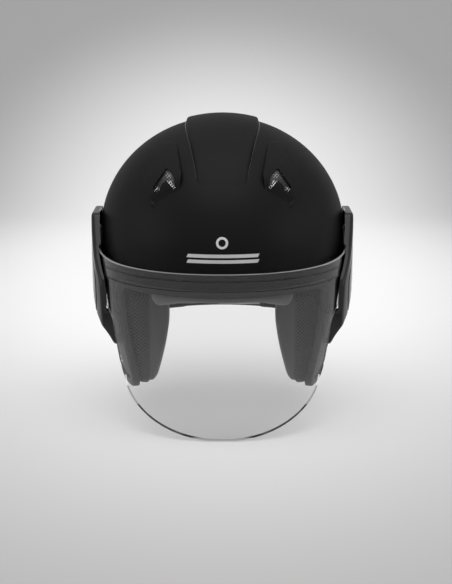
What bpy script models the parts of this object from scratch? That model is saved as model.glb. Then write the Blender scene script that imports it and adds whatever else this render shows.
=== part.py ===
"""Open face motorcycle helmet, modelled as an assembly of separate parts.

Metres, +Z up. The origin is the midpoint of the visor's pivot axis, inside the head cavity.
The face looks towards -Y and the visor turns about the X axis.
"""
import math

import bmesh
import bpy
from mathutils import Vector

MM = 0.001
SIDES = (("left", 1), ("right", -1))

# ---- driving dimensions ----------------------------------------------------------------
SHELL_HALF_WIDTH = 123.5 * MM
SHELL_FRONT = 153.0 * MM          # half-length ahead of the widest section
SHELL_REAR = 133.0 * MM           # half-length behind it
SHELL_MID_Y = 15.0 * MM           # the widest section sits behind the pivot
SHELL_DOME = 114.6 * MM           # height of the dome above the equator
EQUATOR_Z = 19.4 * MM
SHELL_WALL = 3.4 * MM
SKIRT_DEPTH = 141.0 * MM          # length over which the lower half narrows
SKIRT_NARROWING = 0.178
NAPE_TUCK = 0.30

BOSS_X = 120.5 * MM               # flat boss that carries the visor base plate
BOSS_R = 30.0 * MM
BOSS_BLEND = 14.0 * MM

BROW_Z = -17.0 * MM
CHEEK_Y = -68.0 * MM
RIM_Z = -122.0 * MM
NAPE_Z = -77.0 * MM

EPS_OFFSET = -5.6 * MM
EPS_INNER = -27.0 * MM
CROWN_PAD_THICK = 6.0 * MM

VISOR_HALF_WIDTH = 125.2 * MM
VISOR_REACH = 151.0 * MM
VISOR_POWER = 2.2
VISOR_WALL = 2.0 * MM
VISOR_TOP_Z = 4.5 * MM
VISOR_EAR_R = 27.0 * MM
VISOR_EAR_BLEND = 50.0 * MM
VISOR_CHIN_Z = -99.0 * MM
VISOR_CHIN_HALF = 93.5 * MM
VISOR_CHIN_DROP = 55.0 * MM
VISOR_LIFT = 60.0                 # degrees of opening that the side parts must clear

COVER_X = 130.0 * MM
COVER_GAP = 1.3 * MM
COVER_MIN = 2.0 * MM
COVER_WALL = 2.5 * MM

PLATE_R = 23.0 * MM
PLATE_IN = 121.1 * MM
PLATE_OUT = 122.8 * MM
BUSH_R = 5.5 * MM
SCREW_R = 3.0 * MM

STRAP_WIDTH = 22.0 * MM
STRAP_THICK = 1.8 * MM
STRAP_Y = 68.0 * MM               # line of the buckled strap, pushed back to the nape
STRAP_Z = -55.0 * MM
ANCHOR_Y = 30.0 * MM
ANCHOR_Z = -92.0 * MM

FACETS = 28


# ---- scene -----------------------------------------------------------------------------
def clear_scene():
    for obj in list(bpy.data.objects):
        bpy.data.objects.remove(obj, do_unlink=True)


clear_scene()
PARTS = bpy.data.collections.new("open_face_helmet")
CUTTERS = bpy.data.collections.new("cutters")
bpy.context.scene.collection.children.link(PARTS)
bpy.context.scene.collection.children.link(CUTTERS)


def material(name, colour, roughness, metallic=0.0, alpha=1.0):
    mat = bpy.data.materials.new(name)
    mat.use_nodes = True
    bsdf = mat.node_tree.nodes["Principled BSDF"]
    bsdf.inputs["Base Color"].default_value = (*colour, 1.0)
    bsdf.inputs["Roughness"].default_value = roughness
    bsdf.inputs["Metallic"].default_value = metallic
    bsdf.inputs["Alpha"].default_value = alpha
    return mat


LOOKS = {
    "matte_black": ((0.014, 0.014, 0.015), 0.5, 0.0, 1.0),
    "gloss_black": ((0.012, 0.012, 0.013), 0.12, 0.0, 1.0),
    "eps": ((0.05, 0.05, 0.055), 0.9, 0.0, 1.0),
    "fabric": ((0.03, 0.03, 0.032), 0.9, 0.0, 1.0),
    "webbing": ((0.02, 0.02, 0.02), 0.8, 0.0, 1.0),
    "rubber": ((0.02, 0.02, 0.02), 0.7, 0.0, 1.0),
    "clear": ((0.9, 0.92, 0.93), 0.03, 0.0, 0.25),
    "steel": ((0.6, 0.6, 0.62), 0.3, 1.0, 1.0),
    "red": ((0.5, 0.02, 0.02), 0.35, 0.0, 1.0),
}


def new_object(name, verts, faces, look=None):
    """One closed mesh object with outward normals; look None makes a cutter."""
    mesh = bpy.data.meshes.new(name)
    mesh.from_pydata([tuple(v) for v in verts], [], faces)
    bm = bmesh.new()
    bm.from_mesh(mesh)
    bmesh.ops.remove_doubles(bm, verts=bm.verts, dist=1e-6)
    bmesh.ops.recalc_face_normals(bm, faces=bm.faces)
    bm.to_mesh(mesh)
    bm.free()
    obj = bpy.data.objects.new(name, mesh)
    if look is None:
        CUTTERS.objects.link(obj)
        obj.hide_render = True
        obj.display_type = "WIRE"
    else:
        PARTS.objects.link(obj)
        obj.data.materials.append(material(name, *LOOKS[look]))
    return obj


def boolean(obj, cutter, operation="DIFFERENCE"):
    mod = obj.modifiers.new(cutter.name[:40], "BOOLEAN")
    mod.operation = operation
    mod.solver = "EXACT"
    mod.object = cutter
    return mod


# ---- outlines and solids ---------------------------------------------------------------
def rounded(corners, steps=5):
    """Open or closed outline from (a, b, radius) corners; radius 0 keeps the corner sharp."""
    pts = []
    count = len(corners)
    for i, (a, b, radius) in enumerate(corners):
        here = Vector((a, b))
        if radius <= 0.0:
            pts.append(here)
            continue
        before = (Vector(corners[i - 1][:2]) - here).normalized()
        after = (Vector(corners[(i + 1) % count][:2]) - here).normalized()
        half = before.angle(after) / 2
        trim = radius / math.tan(half)
        centre = here + (before + after).normalized() * (radius / math.sin(half))
        first = here + before * trim - centre
        last = here + after * trim - centre
        turn = first.angle_signed(last)
        for k in range(steps + 1):
            ang = -turn * k / steps
            pts.append(centre + Vector((
                first.x * math.cos(ang) - first.y * math.sin(ang),
                first.x * math.sin(ang) + first.y * math.cos(ang))))
    return pts


def prism(name, outline, low, high, axis="X", look=None):
    """Solid of a 2-D outline stretched along an axis; the outline is in the other two axes."""
    order = {"X": lambda a, b, h: (h, a, b),
             "Y": lambda a, b, h: (a, h, b),
             "Z": lambda a, b, h: (a, b, h)}[axis]
    count = len(outline)
    verts = [order(p[0], p[1], low) for p in outline]
    verts += [order(p[0], p[1], high) for p in outline]
    faces = [list(range(count)), list(range(2 * count - 1, count - 1, -1))]
    for i in range(count):
        j = (i + 1) % count
        faces.append([i, j, count + j, count + i])
    return new_object(name, verts, faces, look)


def circle(radius, centre=(0.0, 0.0), count=FACETS):
    return [(centre[0] + radius * math.cos(2 * math.pi * i / count),
             centre[1] + radius * math.sin(2 * math.pi * i / count)) for i in range(count)]


def rectangle(a, b, width, height, radius=0.0):
    w, h = width / 2, height / 2
    return rounded([(a - w, b - h, radius), (a + w, b - h, radius),
                    (a + w, b + h, radius), (a - w, b + h, radius)], 3)


def turned(name, profile, centre, look=None, count=FACETS):
    """Solid turned about the X direction from (x, radius) pairs; ends on the axis."""
    rings = []
    verts = []
    for x, radius in profile:
        if radius == 0.0:
            rings.append([len(verts)] * count)
            verts.append((x, centre[0], centre[1]))
            continue
        rings.append(list(range(len(verts), len(verts) + count)))
        for a, b in circle(radius, centre, count):
            verts.append((x, a, b))
    faces = []
    for ring, after in zip(rings, rings[1:]):
        for i in range(count):
            j = (i + 1) % count
            quad = [ring[i], ring[j], after[j], after[i]]
            face = list(dict.fromkeys(quad))
            if len(face) > 2:
                faces.append(face)
    return new_object(name, verts, faces, look)


def loft(name, rings, look, closed=False):
    """Skin between rings of equal length; end caps unless the loft closes on itself."""
    size = len(rings[0])
    verts = [v for ring in rings for v in ring]
    faces = []
    spans = len(rings) if closed else len(rings) - 1
    for r in range(spans):
        s = (r + 1) % len(rings)
        for i in range(size):
            j = (i + 1) % size
            faces.append([r * size + i, r * size + j, s * size + j, s * size + i])
    if not closed:
        faces.append(list(range(size)))
        faces.append([(len(rings) - 1) * size + i for i in range(size)])
    return new_object(name, verts, faces, look)


def two_sheets(name, outer, inner, look):
    """Closed slab between two matching grids of points."""
    rows, cols = len(outer), len(outer[0])
    verts = [v for row in outer for v in row] + [v for row in inner for v in row]
    base = rows * cols
    faces = []
    for i in range(rows - 1):
        for j in range(cols - 1):
            a = i * cols + j
            faces.append([a, a + 1, a + cols + 1, a + cols])
            faces.append([base + a, base + a + cols, base + a + cols + 1, base + a + 1])
    edge = [j for j in range(cols)]
    edge += [i * cols + cols - 1 for i in range(1, rows)]
    edge += [(rows - 1) * cols + j for j in range(cols - 2, -1, -1)]
    edge += [i * cols for i in range(rows - 2, 0, -1)]
    for a, b in zip(edge, edge[1:] + edge[:1]):
        faces.append([a, b, base + b, base + a])
    return new_object(name, verts, faces, look)


def smooth_step(t):
    t = min(max(t, 0.0), 1.0)
    return t * t * (3 - 2 * t)


def spaced(low, high, count):
    return [low + (high - low) * i / (count - 1) for i in range(count)]


# ---- the shell's surface ---------------------------------------------------------------
def section(z, off=0.0):
    """Half-width, front and rear half-length of the shell's horizontal section at z."""
    if z >= EQUATOR_Z:
        rise = (z - EQUATOR_Z) / (SHELL_DOME + off)
        k = math.sqrt(max(0.0, 1 - rise * rise))
        return ((SHELL_HALF_WIDTH + off) * k, (SHELL_FRONT + off) * k, (SHELL_REAR + off) * k)
    drop = (EQUATOR_Z - z) / SKIRT_DEPTH
    width = SHELL_HALF_WIDTH * (1 - SKIRT_NARROWING * drop ** 2.1) + off
    tuck = NAPE_TUCK * ((EQUATOR_Z - z) / (105 * MM)) ** 2
    return (width, SHELL_FRONT + off, SHELL_REAR * (1 - tuck) + off)


def half_width(y, z, off=0.0):
    """Distance of the shell's surface from the middle plane at (y, z), or None outside it."""
    width, front, rear = section(z, off)
    length = front if y < SHELL_MID_Y else rear
    inside = 1 - ((y - SHELL_MID_Y) / length) ** 2 if length > 0 else -1
    return width * math.sqrt(inside) if inside >= 0 else None


def with_boss(x, y, z, off):
    reach = math.hypot(y, z)
    t = smooth_step((reach - BOSS_R) / BOSS_BLEND)
    flat = BOSS_X + off
    return math.copysign(abs(x) * t + flat * (1 - t), x) if abs(x) > 60 * MM else x


def shell_point(phi, z, off=0.0, boss=True):
    """Point of the shell at azimuth phi (0 in front) and height z."""
    width, front, rear = section(z, off)
    length = front if math.cos(phi) > 0 else rear
    x = width * math.sin(phi)
    y = SHELL_MID_Y - length * math.cos(phi)
    return Vector((with_boss(x, y, z, off) if boss else x, y, z))


def dome_point(x, t, off=0.0):
    """Point of the dome at sideways distance x and pitch t (0 in front, pi at the rear)."""
    k = math.sqrt(max(0.0, 1 - (x / (SHELL_HALF_WIDTH + off)) ** 2))
    length = (SHELL_FRONT if math.cos(t) > 0 else SHELL_REAR) + off
    return Vector((x, SHELL_MID_Y - length * k * math.cos(t),
                   EQUATOR_Z + (SHELL_DOME + off) * k * math.sin(t)))


def dome(name, outer, inner, low, levels, around, look, boss=True):
    """Closed bowl between two offsets of the shell surface, open downwards at z = low."""
    verts = []
    rings = []
    for off in (outer, inner):
        sheet = []
        for i in range(levels):
            t = i / levels
            if low < EQUATOR_Z:
                skirt = 0.48
                if t < skirt:
                    z = low + (EQUATOR_Z - low) * t / skirt
                else:
                    z = EQUATOR_Z + (SHELL_DOME + off) * math.sin((t - skirt) / (1 - skirt) * math.pi / 2)
            else:
                start = math.asin((low - EQUATOR_Z) / (SHELL_DOME + off))
                z = EQUATOR_Z + (SHELL_DOME + off) * math.sin(start + (math.pi / 2 - start) * t)
            sheet.append(len(verts))
            for k in range(around):
                verts.append(shell_point(2 * math.pi * k / around, z, off, boss))
        rings.append(sheet)
        verts.append(Vector((0.0, SHELL_MID_Y, EQUATOR_Z + SHELL_DOME + off)))
        sheet.append(len(verts) - 1)
    faces = []
    for sheet in rings:
        for a, b in zip(sheet[:-1], sheet[1:-1]):
            for k in range(around):
                m = (k + 1) % around
                faces.append([a + k, a + m, b + m, b + k])
        for k in range(around):
            faces.append([sheet[-2] + k, sheet[-2] + (k + 1) % around, sheet[-1]])
    for k in range(around):
        m = (k + 1) % around
        faces.append([rings[0][0] + k, rings[0][0] + m, rings[1][0] + m, rings[1][0] + k])
    return new_object(name, verts, faces, look)


def below(name, corners):
    """Cutter that takes away everything under a side-view line of (y, z, radius) corners."""
    far = 0.25
    line = [(-far, corners[0][1], 0.0)] + corners + [(far, corners[-1][1], 0.0)]
    line += [(far, -far, 0.0), (-far, -far, 0.0)]
    return prism(name, rounded(line), -far, far, "X")


# ---- outer shell -----------------------------------------------------------------------
RIM_CORNERS = [
    (CHEEK_Y, BROW_Z, 16 * MM),
    (CHEEK_Y, RIM_Z, 12 * MM),
    (48 * MM, RIM_Z, 25 * MM),
    (86 * MM, NAPE_Z, 22 * MM),
]


def make_shell():
    shell = dome("outer_shell", 0.0, -SHELL_WALL, -135 * MM, 20, 48, "matte_black")
    boolean(shell, below("cut_rim", RIM_CORNERS))
    for side, sign in SIDES:
        for label, radius, y, z in (("bush", BUSH_R + 0.5 * MM, 0.0, 0.0),
                                    ("screw_a", 2.3 * MM, -17 * MM, -8 * MM),
                                    ("screw_b", 2.3 * MM, 17 * MM, -8 * MM),
                                    ("rivet", 2.9 * MM, ANCHOR_Y, ANCHOR_Z)):
            hole = prism("hole_%s_%s" % (label, side), circle(radius, (y, z), 16),
                         sign * 90 * MM, sign * 140 * MM, "X")
            boolean(shell, hole)
    return shell


# ---- roof panel, rear grille and front vents -------------------------------------------
def panel_half_width(t):
    """The roof panel widens from the brow to the crown."""
    return (22 + 14 * smooth_step((math.degrees(t) - 25) / 60)) * MM


def make_roof_panel():
    low, high = math.radians(27), math.radians(136)
    outer, inner = [], []
    for t in spaced(low, high, 22):
        fade = smooth_step((t - low) / 0.55) * smooth_step((high + 0.35 - t) / 0.35)
        height = (1.2 + 2.6 * fade) * MM
        half = panel_half_width(t)
        outer.append([dome_point(half * q, t, height - (1.2 * MM if abs(q) == 1 else 0) * fade)
                      for q in (-1, -0.93, -0.6, -0.3, 0, 0.3, 0.6, 0.93, 1)])
        inner.append([dome_point(half * q, t, 0.6 * MM)
                      for q in (-1, -0.93, -0.6, -0.3, 0, 0.3, 0.6, 0.93, 1)])
    two_sheets("roof_panel", outer, inner, "matte_black")


def make_rear_grille():
    outer, inner = [], []
    for t in spaced(math.radians(137), math.radians(152), 5):
        outer.append([dome_point(34 * MM * q, t, 5.0 * MM) for q in spaced(-1, 1, 9)])
        inner.append([dome_point(34 * MM * q, t, 0.6 * MM) for q in spaced(-1, 1, 9)])
    grille = two_sheets("rear_exhaust_grille", outer, inner, "gloss_black")
    for i, x in enumerate((-21, -7, 7, 21)):
        middle = dome_point(x * MM, math.radians(144.5), 3 * MM)
        slot = prism("grille_slot_%d" % i, rectangle(x * MM, middle.z, 10 * MM, 7 * MM, 2 * MM),
                     0.08, 0.20, "Y")
        boolean(grille, slot)


VENT_OUTLINE = ((54, 115, 3), (65, 98, 10), (75.5, 79, 3), (65, 59, 3), (40, 74, 3),
                (38.5, 92, 12), (44, 115, 3))
VENT_MOUTH = ((65, 78.5, 1), (52.5, 95.5, 2), (44.5, 88, 2), (43.5, 77, 1), (53.5, 85, 2),
              (62, 70.5, 1))


def vent_slab(name, off_in, off_out, sign, look):
    rows = spaced(math.radians(14), math.radians(86), 10)
    cols = spaced(sign * 34 * MM, sign * 80 * MM, 8)
    return two_sheets(name, [[dome_point(x, t, off_out) for x in cols] for t in rows],
                      [[dome_point(x, t, off_in) for x in cols] for t in rows], look)


def inset(pts, distance):
    """The outline moved inwards by a small distance."""
    area = sum(a.x * b.y - b.x * a.y for a, b in zip(pts, pts[1:] + pts[:1]))
    moved = []
    for i, p in enumerate(pts):
        along = pts[(i + 1) % len(pts)] - pts[i - 1]
        inward = Vector((-along.y, along.x)).normalized() * math.copysign(1.0, area)
        moved.append(p + inward * distance)
    return moved


def vent_cutter(name, outline, sign, shrink=0.0):
    corners = [(sign * a * MM, b * MM, r * MM) for a, b, r in outline]
    return prism(name, inset(rounded(corners, 3), shrink), -0.2, 0.0, "Y")


def make_vents():
    for side, sign in SIDES:
        scoop = vent_slab("vent_scoop_" + side, 0.8 * MM, 5.6 * MM, sign, "gloss_black")
        boolean(scoop, vent_cutter("vent_outline_" + side, VENT_OUTLINE, sign), "INTERSECT")
        boolean(scoop, vent_cutter("vent_mouth_" + side, VENT_MOUTH, sign))
        mesh = vent_slab("vent_mesh_" + side, 0.9 * MM, 2.6 * MM, sign, "matte_black")
        boolean(mesh, vent_cutter("vent_inset_" + side, VENT_MOUTH, sign, 0.45 * MM), "INTERSECT")


# ---- liner and pads --------------------------------------------------------------------
def make_liner():
    eps = dome("eps_liner", EPS_OFFSET, EPS_INNER, -100 * MM, 11, 32, "eps")
    boolean(eps, below("cut_liner", [
        (-56 * MM, -9 * MM, 4 * MM), (-51 * MM, -24 * MM, 4 * MM),
        (42 * MM, -24 * MM, 14 * MM), (60 * MM, -48 * MM, 10 * MM)]))
    for side, sign in SIDES:
        pocket = prism("liner_pocket_" + side, circle(12 * MM, count=16),
                       sign * 104 * MM, sign * 140 * MM, "X")
        boolean(eps, pocket)
    dome("crown_pad", EPS_INNER - 1.8 * MM, EPS_INNER - 1.8 * MM - CROWN_PAD_THICK,
         62 * MM, 6, 24, "fabric", boss=False)


def bead(width, height, count=12, power=4.0):
    """Rounded section of a pad, as (across, up) pairs around a superellipse."""
    pts = []
    for i in range(count):
        a = 2 * math.pi * i / count + math.pi / count
        c, s = math.cos(a), math.sin(a)
        pts.append((math.copysign(abs(c) ** (2 / power), c) * width / 2,
                    math.copysign(abs(s) ** (2 / power), s) * height / 2))
    return pts


def band_pad(name, half_angle, start, off_out, off_in, z_low, z_high, steps):
    """Pad that follows the inside of the shell around azimuth start."""
    rings = []
    for phi in spaced(-half_angle, half_angle, steps):
        low, high = z_low(abs(phi) / half_angle), z_high
        end = 0.55 if abs(phi) == half_angle else 1.0
        ring = []
        for across, up in bead(off_out - off_in, high - low):
            off = (off_out + off_in) / 2 + across * end
            z = (high + low) / 2 + up * end
            ring.append(shell_point(start + phi, z, off, boss=False))
        rings.append(ring)
    loft(name, rings, "fabric")


def make_brow_and_neck():
    band_pad("brow_pad", math.radians(40), 0.0, -6.5 * MM, -25 * MM,
             lambda q: (-29.5 - 9 * smooth_step((q - 0.35) / 0.65)) * MM, -11.5 * MM, 17)
    band_pad("neck_roll", math.radians(42), math.pi, -6.5 * MM, -25 * MM,
             lambda q: -72 * MM, -49.5 * MM, 15)


def cheek_inner(y, z):
    """Face of the cheek pad towards the wearer's cheek."""
    drop = max(0.0, (-50 * MM - z) / (60 * MM))
    back = max(0.0, (y - CHEEK_Y) / (100 * MM))
    return (50 + 12 * drop ** 1.6 + 6 * smooth_step(back)) * MM


def cheek_solid(name, sign, outer, inner, y_front, y_back, look, z_low, z_high, columns=13,
                end=0.6):
    rings = []
    for level in spaced(0, 1, 9):
        z = z_low + (z_high - z_low) * level
        shrink = 0.35 + 0.65 * (1 - abs(2 * level - 1) ** 5) ** 0.2 if 0 < level < 1 else end
        front, back = [], []
        for q in spaced(-1, 1, columns):
            lean = math.sin(q * math.pi / 2)
            y = (y_front + y_back) / 2 + (y_back - y_front) / 2 * lean * (0.9 + 0.1 * shrink)
            full = (1 - abs(lean) ** 6) ** (1 / 6) * shrink
            middle = (outer(y, z) + inner(y, z)) / 2
            reach = (outer(y, z) - inner(y, z)) / 2 * full
            front.append(Vector((sign * (middle + reach), y, z)))
            back.append(Vector((sign * (middle - reach), y, z)))
        rings.append(front + back[-2:0:-1])
    return loft(name, rings, look)


def make_cheeks():
    for side, sign in SIDES:
        cheek_solid("cheek_block_" + side, sign,
                    lambda y, z: half_width(y, z, -5.2 * MM),
                    lambda y, z: half_width(y, z, -10.5 * MM),
                    -60 * MM, 6 * MM, "eps", -114 * MM, -30 * MM)
        pad = cheek_solid("cheek_pad_" + side, sign,
                          lambda y, z: half_width(y, z, -11.4 * MM), cheek_inner,
                          -66 * MM, 11 * MM, "fabric", -121 * MM, -29 * MM, 17, 0.75)
        lip = cheek_solid("cheek_lip_" + side, sign,
                          lambda y, z: half_width(y, z, -6.7 * MM),
                          lambda y, z: half_width(y, z, -22 * MM),
                          -65.6 * MM, -60.6 * MM, None, -119 * MM, -32 * MM, 7, 0.8)
        boolean(pad, lip, "UNION")


# ---- edge trim -------------------------------------------------------------------------
def rim_half_loop():
    """Points along the middle of the shell's cut edge on the +X side, front to nape."""
    mid = -SHELL_WALL / 2
    line = [(-0.25, BROW_Z, 0.0)] + RIM_CORNERS + [(0.25, NAPE_Z, 0.0)]
    side = rounded(line)[1:-1]
    pts = []
    x_end = half_width(side[0].x, side[0].y, mid)
    width, front, rear = section(BROW_Z, mid)
    for x in spaced(0, x_end, 13)[:-1]:
        pts.append(Vector((x, SHELL_MID_Y - front * math.sqrt(1 - (x / width) ** 2), BROW_Z)))
    for a, b in zip(side, side[1:]):
        span = (b - a).length
        for k in range(max(1, round(span / (17 * MM)))):
            p = a.lerp(b, k / max(1, round(span / (17 * MM))))
            pts.append(Vector((half_width(p.x, p.y, mid), p.x, p.y)))
    last = side[-1]
    width, front, rear = section(NAPE_Z, mid)
    for x in spaced(half_width(last.x, last.y, mid), 0, 11):
        pts.append(Vector((x, SHELL_MID_Y + rear * math.sqrt(1 - (x / width) ** 2), NAPE_Z)))
    return pts


TRIM_SECTION = ((4.3, -4.4), (4.3, 3.0), (3.6, 3.7), (-3.6, 3.7), (-4.3, 3.0), (-4.3, -4.4),
                (-3.2, -4.4), (-3.2, 2.3), (3.2, 2.3), (3.2, -4.4))


def surface_level(p):
    """One on the shell's surface, more outside it."""
    width, front, rear = section(p.z)
    length = front if p.y < SHELL_MID_Y else rear
    return (p.x / width) ** 2 + ((p.y - SHELL_MID_Y) / length) ** 2


def surface_normal(p):
    step = 0.5 * MM
    return Vector([
        surface_level(p + Vector(axis) * step) - surface_level(p - Vector(axis) * step)
        for axis in ((1, 0, 0), (0, 1, 0), (0, 0, 1))]).normalized()


def make_trim():
    half = rim_half_loop()
    loop = half + [Vector((-p.x, p.y, p.z)) for p in reversed(half[1:-1])]
    count = len(loop)
    rings = []
    for i, p in enumerate(loop):
        tangent = (loop[(i + 1) % count] - loop[i - 1]).normalized()
        normal = surface_normal(p)
        off_edge = tangent.cross(normal).normalized()
        if off_edge.z < -0.85:
            off_edge /= -off_edge.z      # keeps the lower rims level, so the helmet can rest
        across = Vector((normal.x, normal.y, 0)).normalized()
        rings.append([p + across * (n * MM) + off_edge * (d * MM) for n, d in TRIM_SECTION])
    loft("edge_trim", rings, "rubber", closed=True)


# ---- visor -----------------------------------------------------------------------------
def visor_base(y, reduce=0.0):
    """Half-width of the visor's plan curve at y."""
    if y >= 0:
        return VISOR_HALF_WIDTH - reduce
    q = min(1.0, -y / (VISOR_REACH - reduce))
    return (VISOR_HALF_WIDTH - reduce) * (1 - q ** VISOR_POWER) ** (1 / VISOR_POWER)


def visor_x(y, z, reduce=0.0):
    """Half-width of the visor, flat around the pivot."""
    t = smooth_step((math.hypot(y, z) - VISOR_EAR_R) / (VISOR_EAR_BLEND - VISOR_EAR_R))
    return visor_base(y, reduce) * t + (VISOR_HALF_WIDTH - reduce) * (1 - t)


def visor_plan(columns, reduce):
    """(x sign, y) stations along the plan curve from the left ear round to the right."""
    stations = []
    for q in spaced(0, 1, columns):
        angle = q * math.pi / 2
        y = -(VISOR_REACH - reduce) * math.cos(angle) ** (2 / VISOR_POWER)
        x = (VISOR_HALF_WIDTH - reduce) * math.sin(angle) ** (2 / VISOR_POWER)
        stations.append((x, y))
    rear = [(VISOR_HALF_WIDTH - reduce, y * MM) for y in (10, 20, 30)]
    half = stations + rear
    return [(-x, y) for x, y in reversed(half[1:])] + half


def visor_sheet(reduce, rows):
    sheet = []
    for z, step in rows:
        row = []
        for x, y in visor_plan(25, reduce):
            if abs(x) > 70 * MM:
                x = math.copysign(max(abs(x), visor_x(y, z, reduce)), x)
            push = step * smooth_step((-y - 62 * MM) / (20 * MM)) if reduce == 0 else 0.0
            direction = Vector((x / VISOR_HALF_WIDTH ** 2, y / VISOR_REACH ** 2)).normalized()
            row.append(Vector((x + direction.x * push, y + direction.y * push, z)))
        sheet.append(row)
    return sheet


def chin_line(count=12):
    """Side-view line of the visor's rounded lower edge, from the front to the side."""
    pts = []
    for q in spaced(0, 1, count):
        x = VISOR_CHIN_HALF * math.sin(q * math.pi / 2)
        z = VISOR_CHIN_Z - VISOR_CHIN_DROP * math.cos(q * math.pi / 2)
        w = (x / VISOR_HALF_WIDTH) ** VISOR_POWER
        pts.append((-VISOR_REACH * (1 - w) ** (1 / VISOR_POWER), z))
    return pts


def make_visor():
    rib = 0.7 * MM
    rows = [(z * MM, 0.0) for z in (-158, -140, -120, -100, -80, -60, -44, -30, -20)]
    rows += [(-11.4 * MM, 0.0), (-10.8 * MM, rib), (-6.5 * MM, rib)]
    rows += [(-2.0 * MM, rib), (-1.4 * MM, 2 * rib), (2 * MM, 2 * rib), (6 * MM, 2 * rib)]
    rows += [(z * MM, 0.0) for z in (12, 20, 30)]
    visor = two_sheets("visor", visor_sheet(0.0, rows), visor_sheet(VISOR_WALL, rows), "clear")
    chin = chin_line()
    ear = [(VISOR_EAR_R * math.cos(math.radians(a)), VISOR_EAR_R * math.sin(math.radians(a)))
           for a in spaced(150, -150, 17)]
    outline = [(-0.2, VISOR_TOP_Z), (-0.1, VISOR_TOP_Z + 0.8 * MM), (-50 * MM, 7 * MM)]
    outline += [(-34 * MM, 11 * MM)] + ear[1:-1]
    outline += [(-36 * MM, -22 * MM), (-60 * MM, -32 * MM), (-80 * MM, -43 * MM),
                (-91 * MM, -56 * MM), (-97 * MM, -74 * MM), (-102 * MM, -88 * MM)]
    outline += [chin[-1]] + chin[-2::-1] + [(-0.2, chin[0][1])]
    boolean(visor, prism("visor_outline", outline, -0.2, 0.2, "X"), "INTERSECT")
    boolean(visor, prism("visor_holes", circle(SCREW_R + 0.4 * MM, count=16), -0.2, 0.2, "X"))


# ---- side covers and pivots ------------------------------------------------------------
COVER_OUTLINE = ((-30, 43, 8), (30, 43, 16), (40, 8, 30), (28, -34, 30), (-14, -64, 26),
                 (-56, -83, 7), (-70, -80, 6), (-80, -52, 20), (-75, -16, 14), (-54, 6, 25))
COVER_SECTION = ((43, 130), (-10, 130), (-28, 128.5), (-42, 126.5), (-52, 123), (-60, 118),
                 (-68, 112), (-78, 107), (-90, 104))


def cover_face(z):
    """Outer face of the cover by height, straight between a few stations."""
    for (z1, x1), (z2, x2) in zip(COVER_SECTION, COVER_SECTION[1:]):
        if z2 * MM <= z <= z1 * MM:
            return (x1 + (x2 - x1) * (z1 * MM - z) / ((z1 - z2) * MM)) * MM
    return COVER_X


def swept_shell(y, z):
    """Widest shell half-width that a point of the visor meets while it lifts."""
    reach, start = math.hypot(y, z), math.atan2(z, -y)
    widest = 0.0
    for step in range(11):
        angle = start + math.radians(VISOR_LIFT) * step / 10
        py, pz = -reach * math.cos(angle), reach * math.sin(angle)
        x = half_width(py, pz)
        if x is not None:
            widest = max(widest, with_boss(x, py, pz, 0.0))
    return widest


def beyond_visor(y, z):
    """How far a side-view point lies outside the visor's outline, near the cover."""
    ear = math.hypot(y, z) - VISOR_EAR_R
    if y > -20 * MM:
        return ear
    lower = -13 * MM + (y + 22 * MM) * 0.53
    return min(ear, max(z - 11 * MM, lower - z))


def cover_floor(y, z):
    """Lowest X the cover may reach: over the visor, or over the shell and its trim."""
    trim = smooth_step((math.hypot(y, z) - 56 * MM) / (8 * MM)) * 2.8 * MM
    shell = swept_shell(y, z) + 1.4 * MM + trim
    visor = visor_x(y, z) + COVER_GAP
    t = smooth_step((beyond_visor(y, z) - 5 * MM) / (8 * MM))
    return max(shell, visor * (1 - t) + shell * t)


def cover_skin(y, z):
    """Outer face of the cover."""
    high = min(cover_face(z), COVER_X - 4.0 * max(0.0, -y - 20 * MM) ** 2)
    return max(high, cover_floor(y, z) + COVER_MIN)


def cover_rings(sign):
    """Rings of the cover from its middle out to the edge and back inside the rim wall."""
    corners = rounded([(a * MM, b * MM, r * MM) for a, b, r in COVER_OUTLINE], 3)
    outline = []
    for a, b in zip(corners, corners[1:] + corners[:1]):
        span = max(1, round((b - a).length / (8 * MM)))
        outline += [a.lerp(b, k / span) for k in range(span)]
    middle = Vector((-6 * MM, -16 * MM))
    rings = []
    for f in (0.02, 0.25, 0.48, 0.68, 0.84, 0.94, 1.0):
        ring = []
        for p in outline:
            y, z = middle + (p - middle) * f
            eased = 1.3 * MM if f == 1.0 else 0.0
            high = max(cover_skin(y, z) - eased, cover_floor(y, z) + 0.7 * MM)
            ring.append(Vector((sign * high, y, z)))
        rings.append(ring)
    for f in (1.0, 0.945, 0.91, 0.84, 0.68, 0.48, 0.25, 0.02):
        ring = []
        for p in outline:
            y, z = middle + (p - middle) * f
            low = cover_floor(y, z)
            if f < 0.92:
                low = max(low, cover_skin(y, z) - COVER_WALL)
            ring.append(Vector((sign * low, y, z)))
        rings.append(ring)
    return rings


def make_cover(side, sign):
    cover = loft("side_cover_" + side, cover_rings(sign), "gloss_black")
    sink = turned("cover_sink_" + side, [
        (sign * 100 * MM, 0.0), (sign * 100 * MM, SCREW_R + 0.4 * MM),
        (sign * 127.6 * MM, SCREW_R + 0.4 * MM), (sign * 127.6 * MM, 9 * MM),
        (sign * 140 * MM, 9 * MM), (sign * 140 * MM, 0.0)], (0, 0), None, 24)
    boolean(cover, sink)


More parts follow.
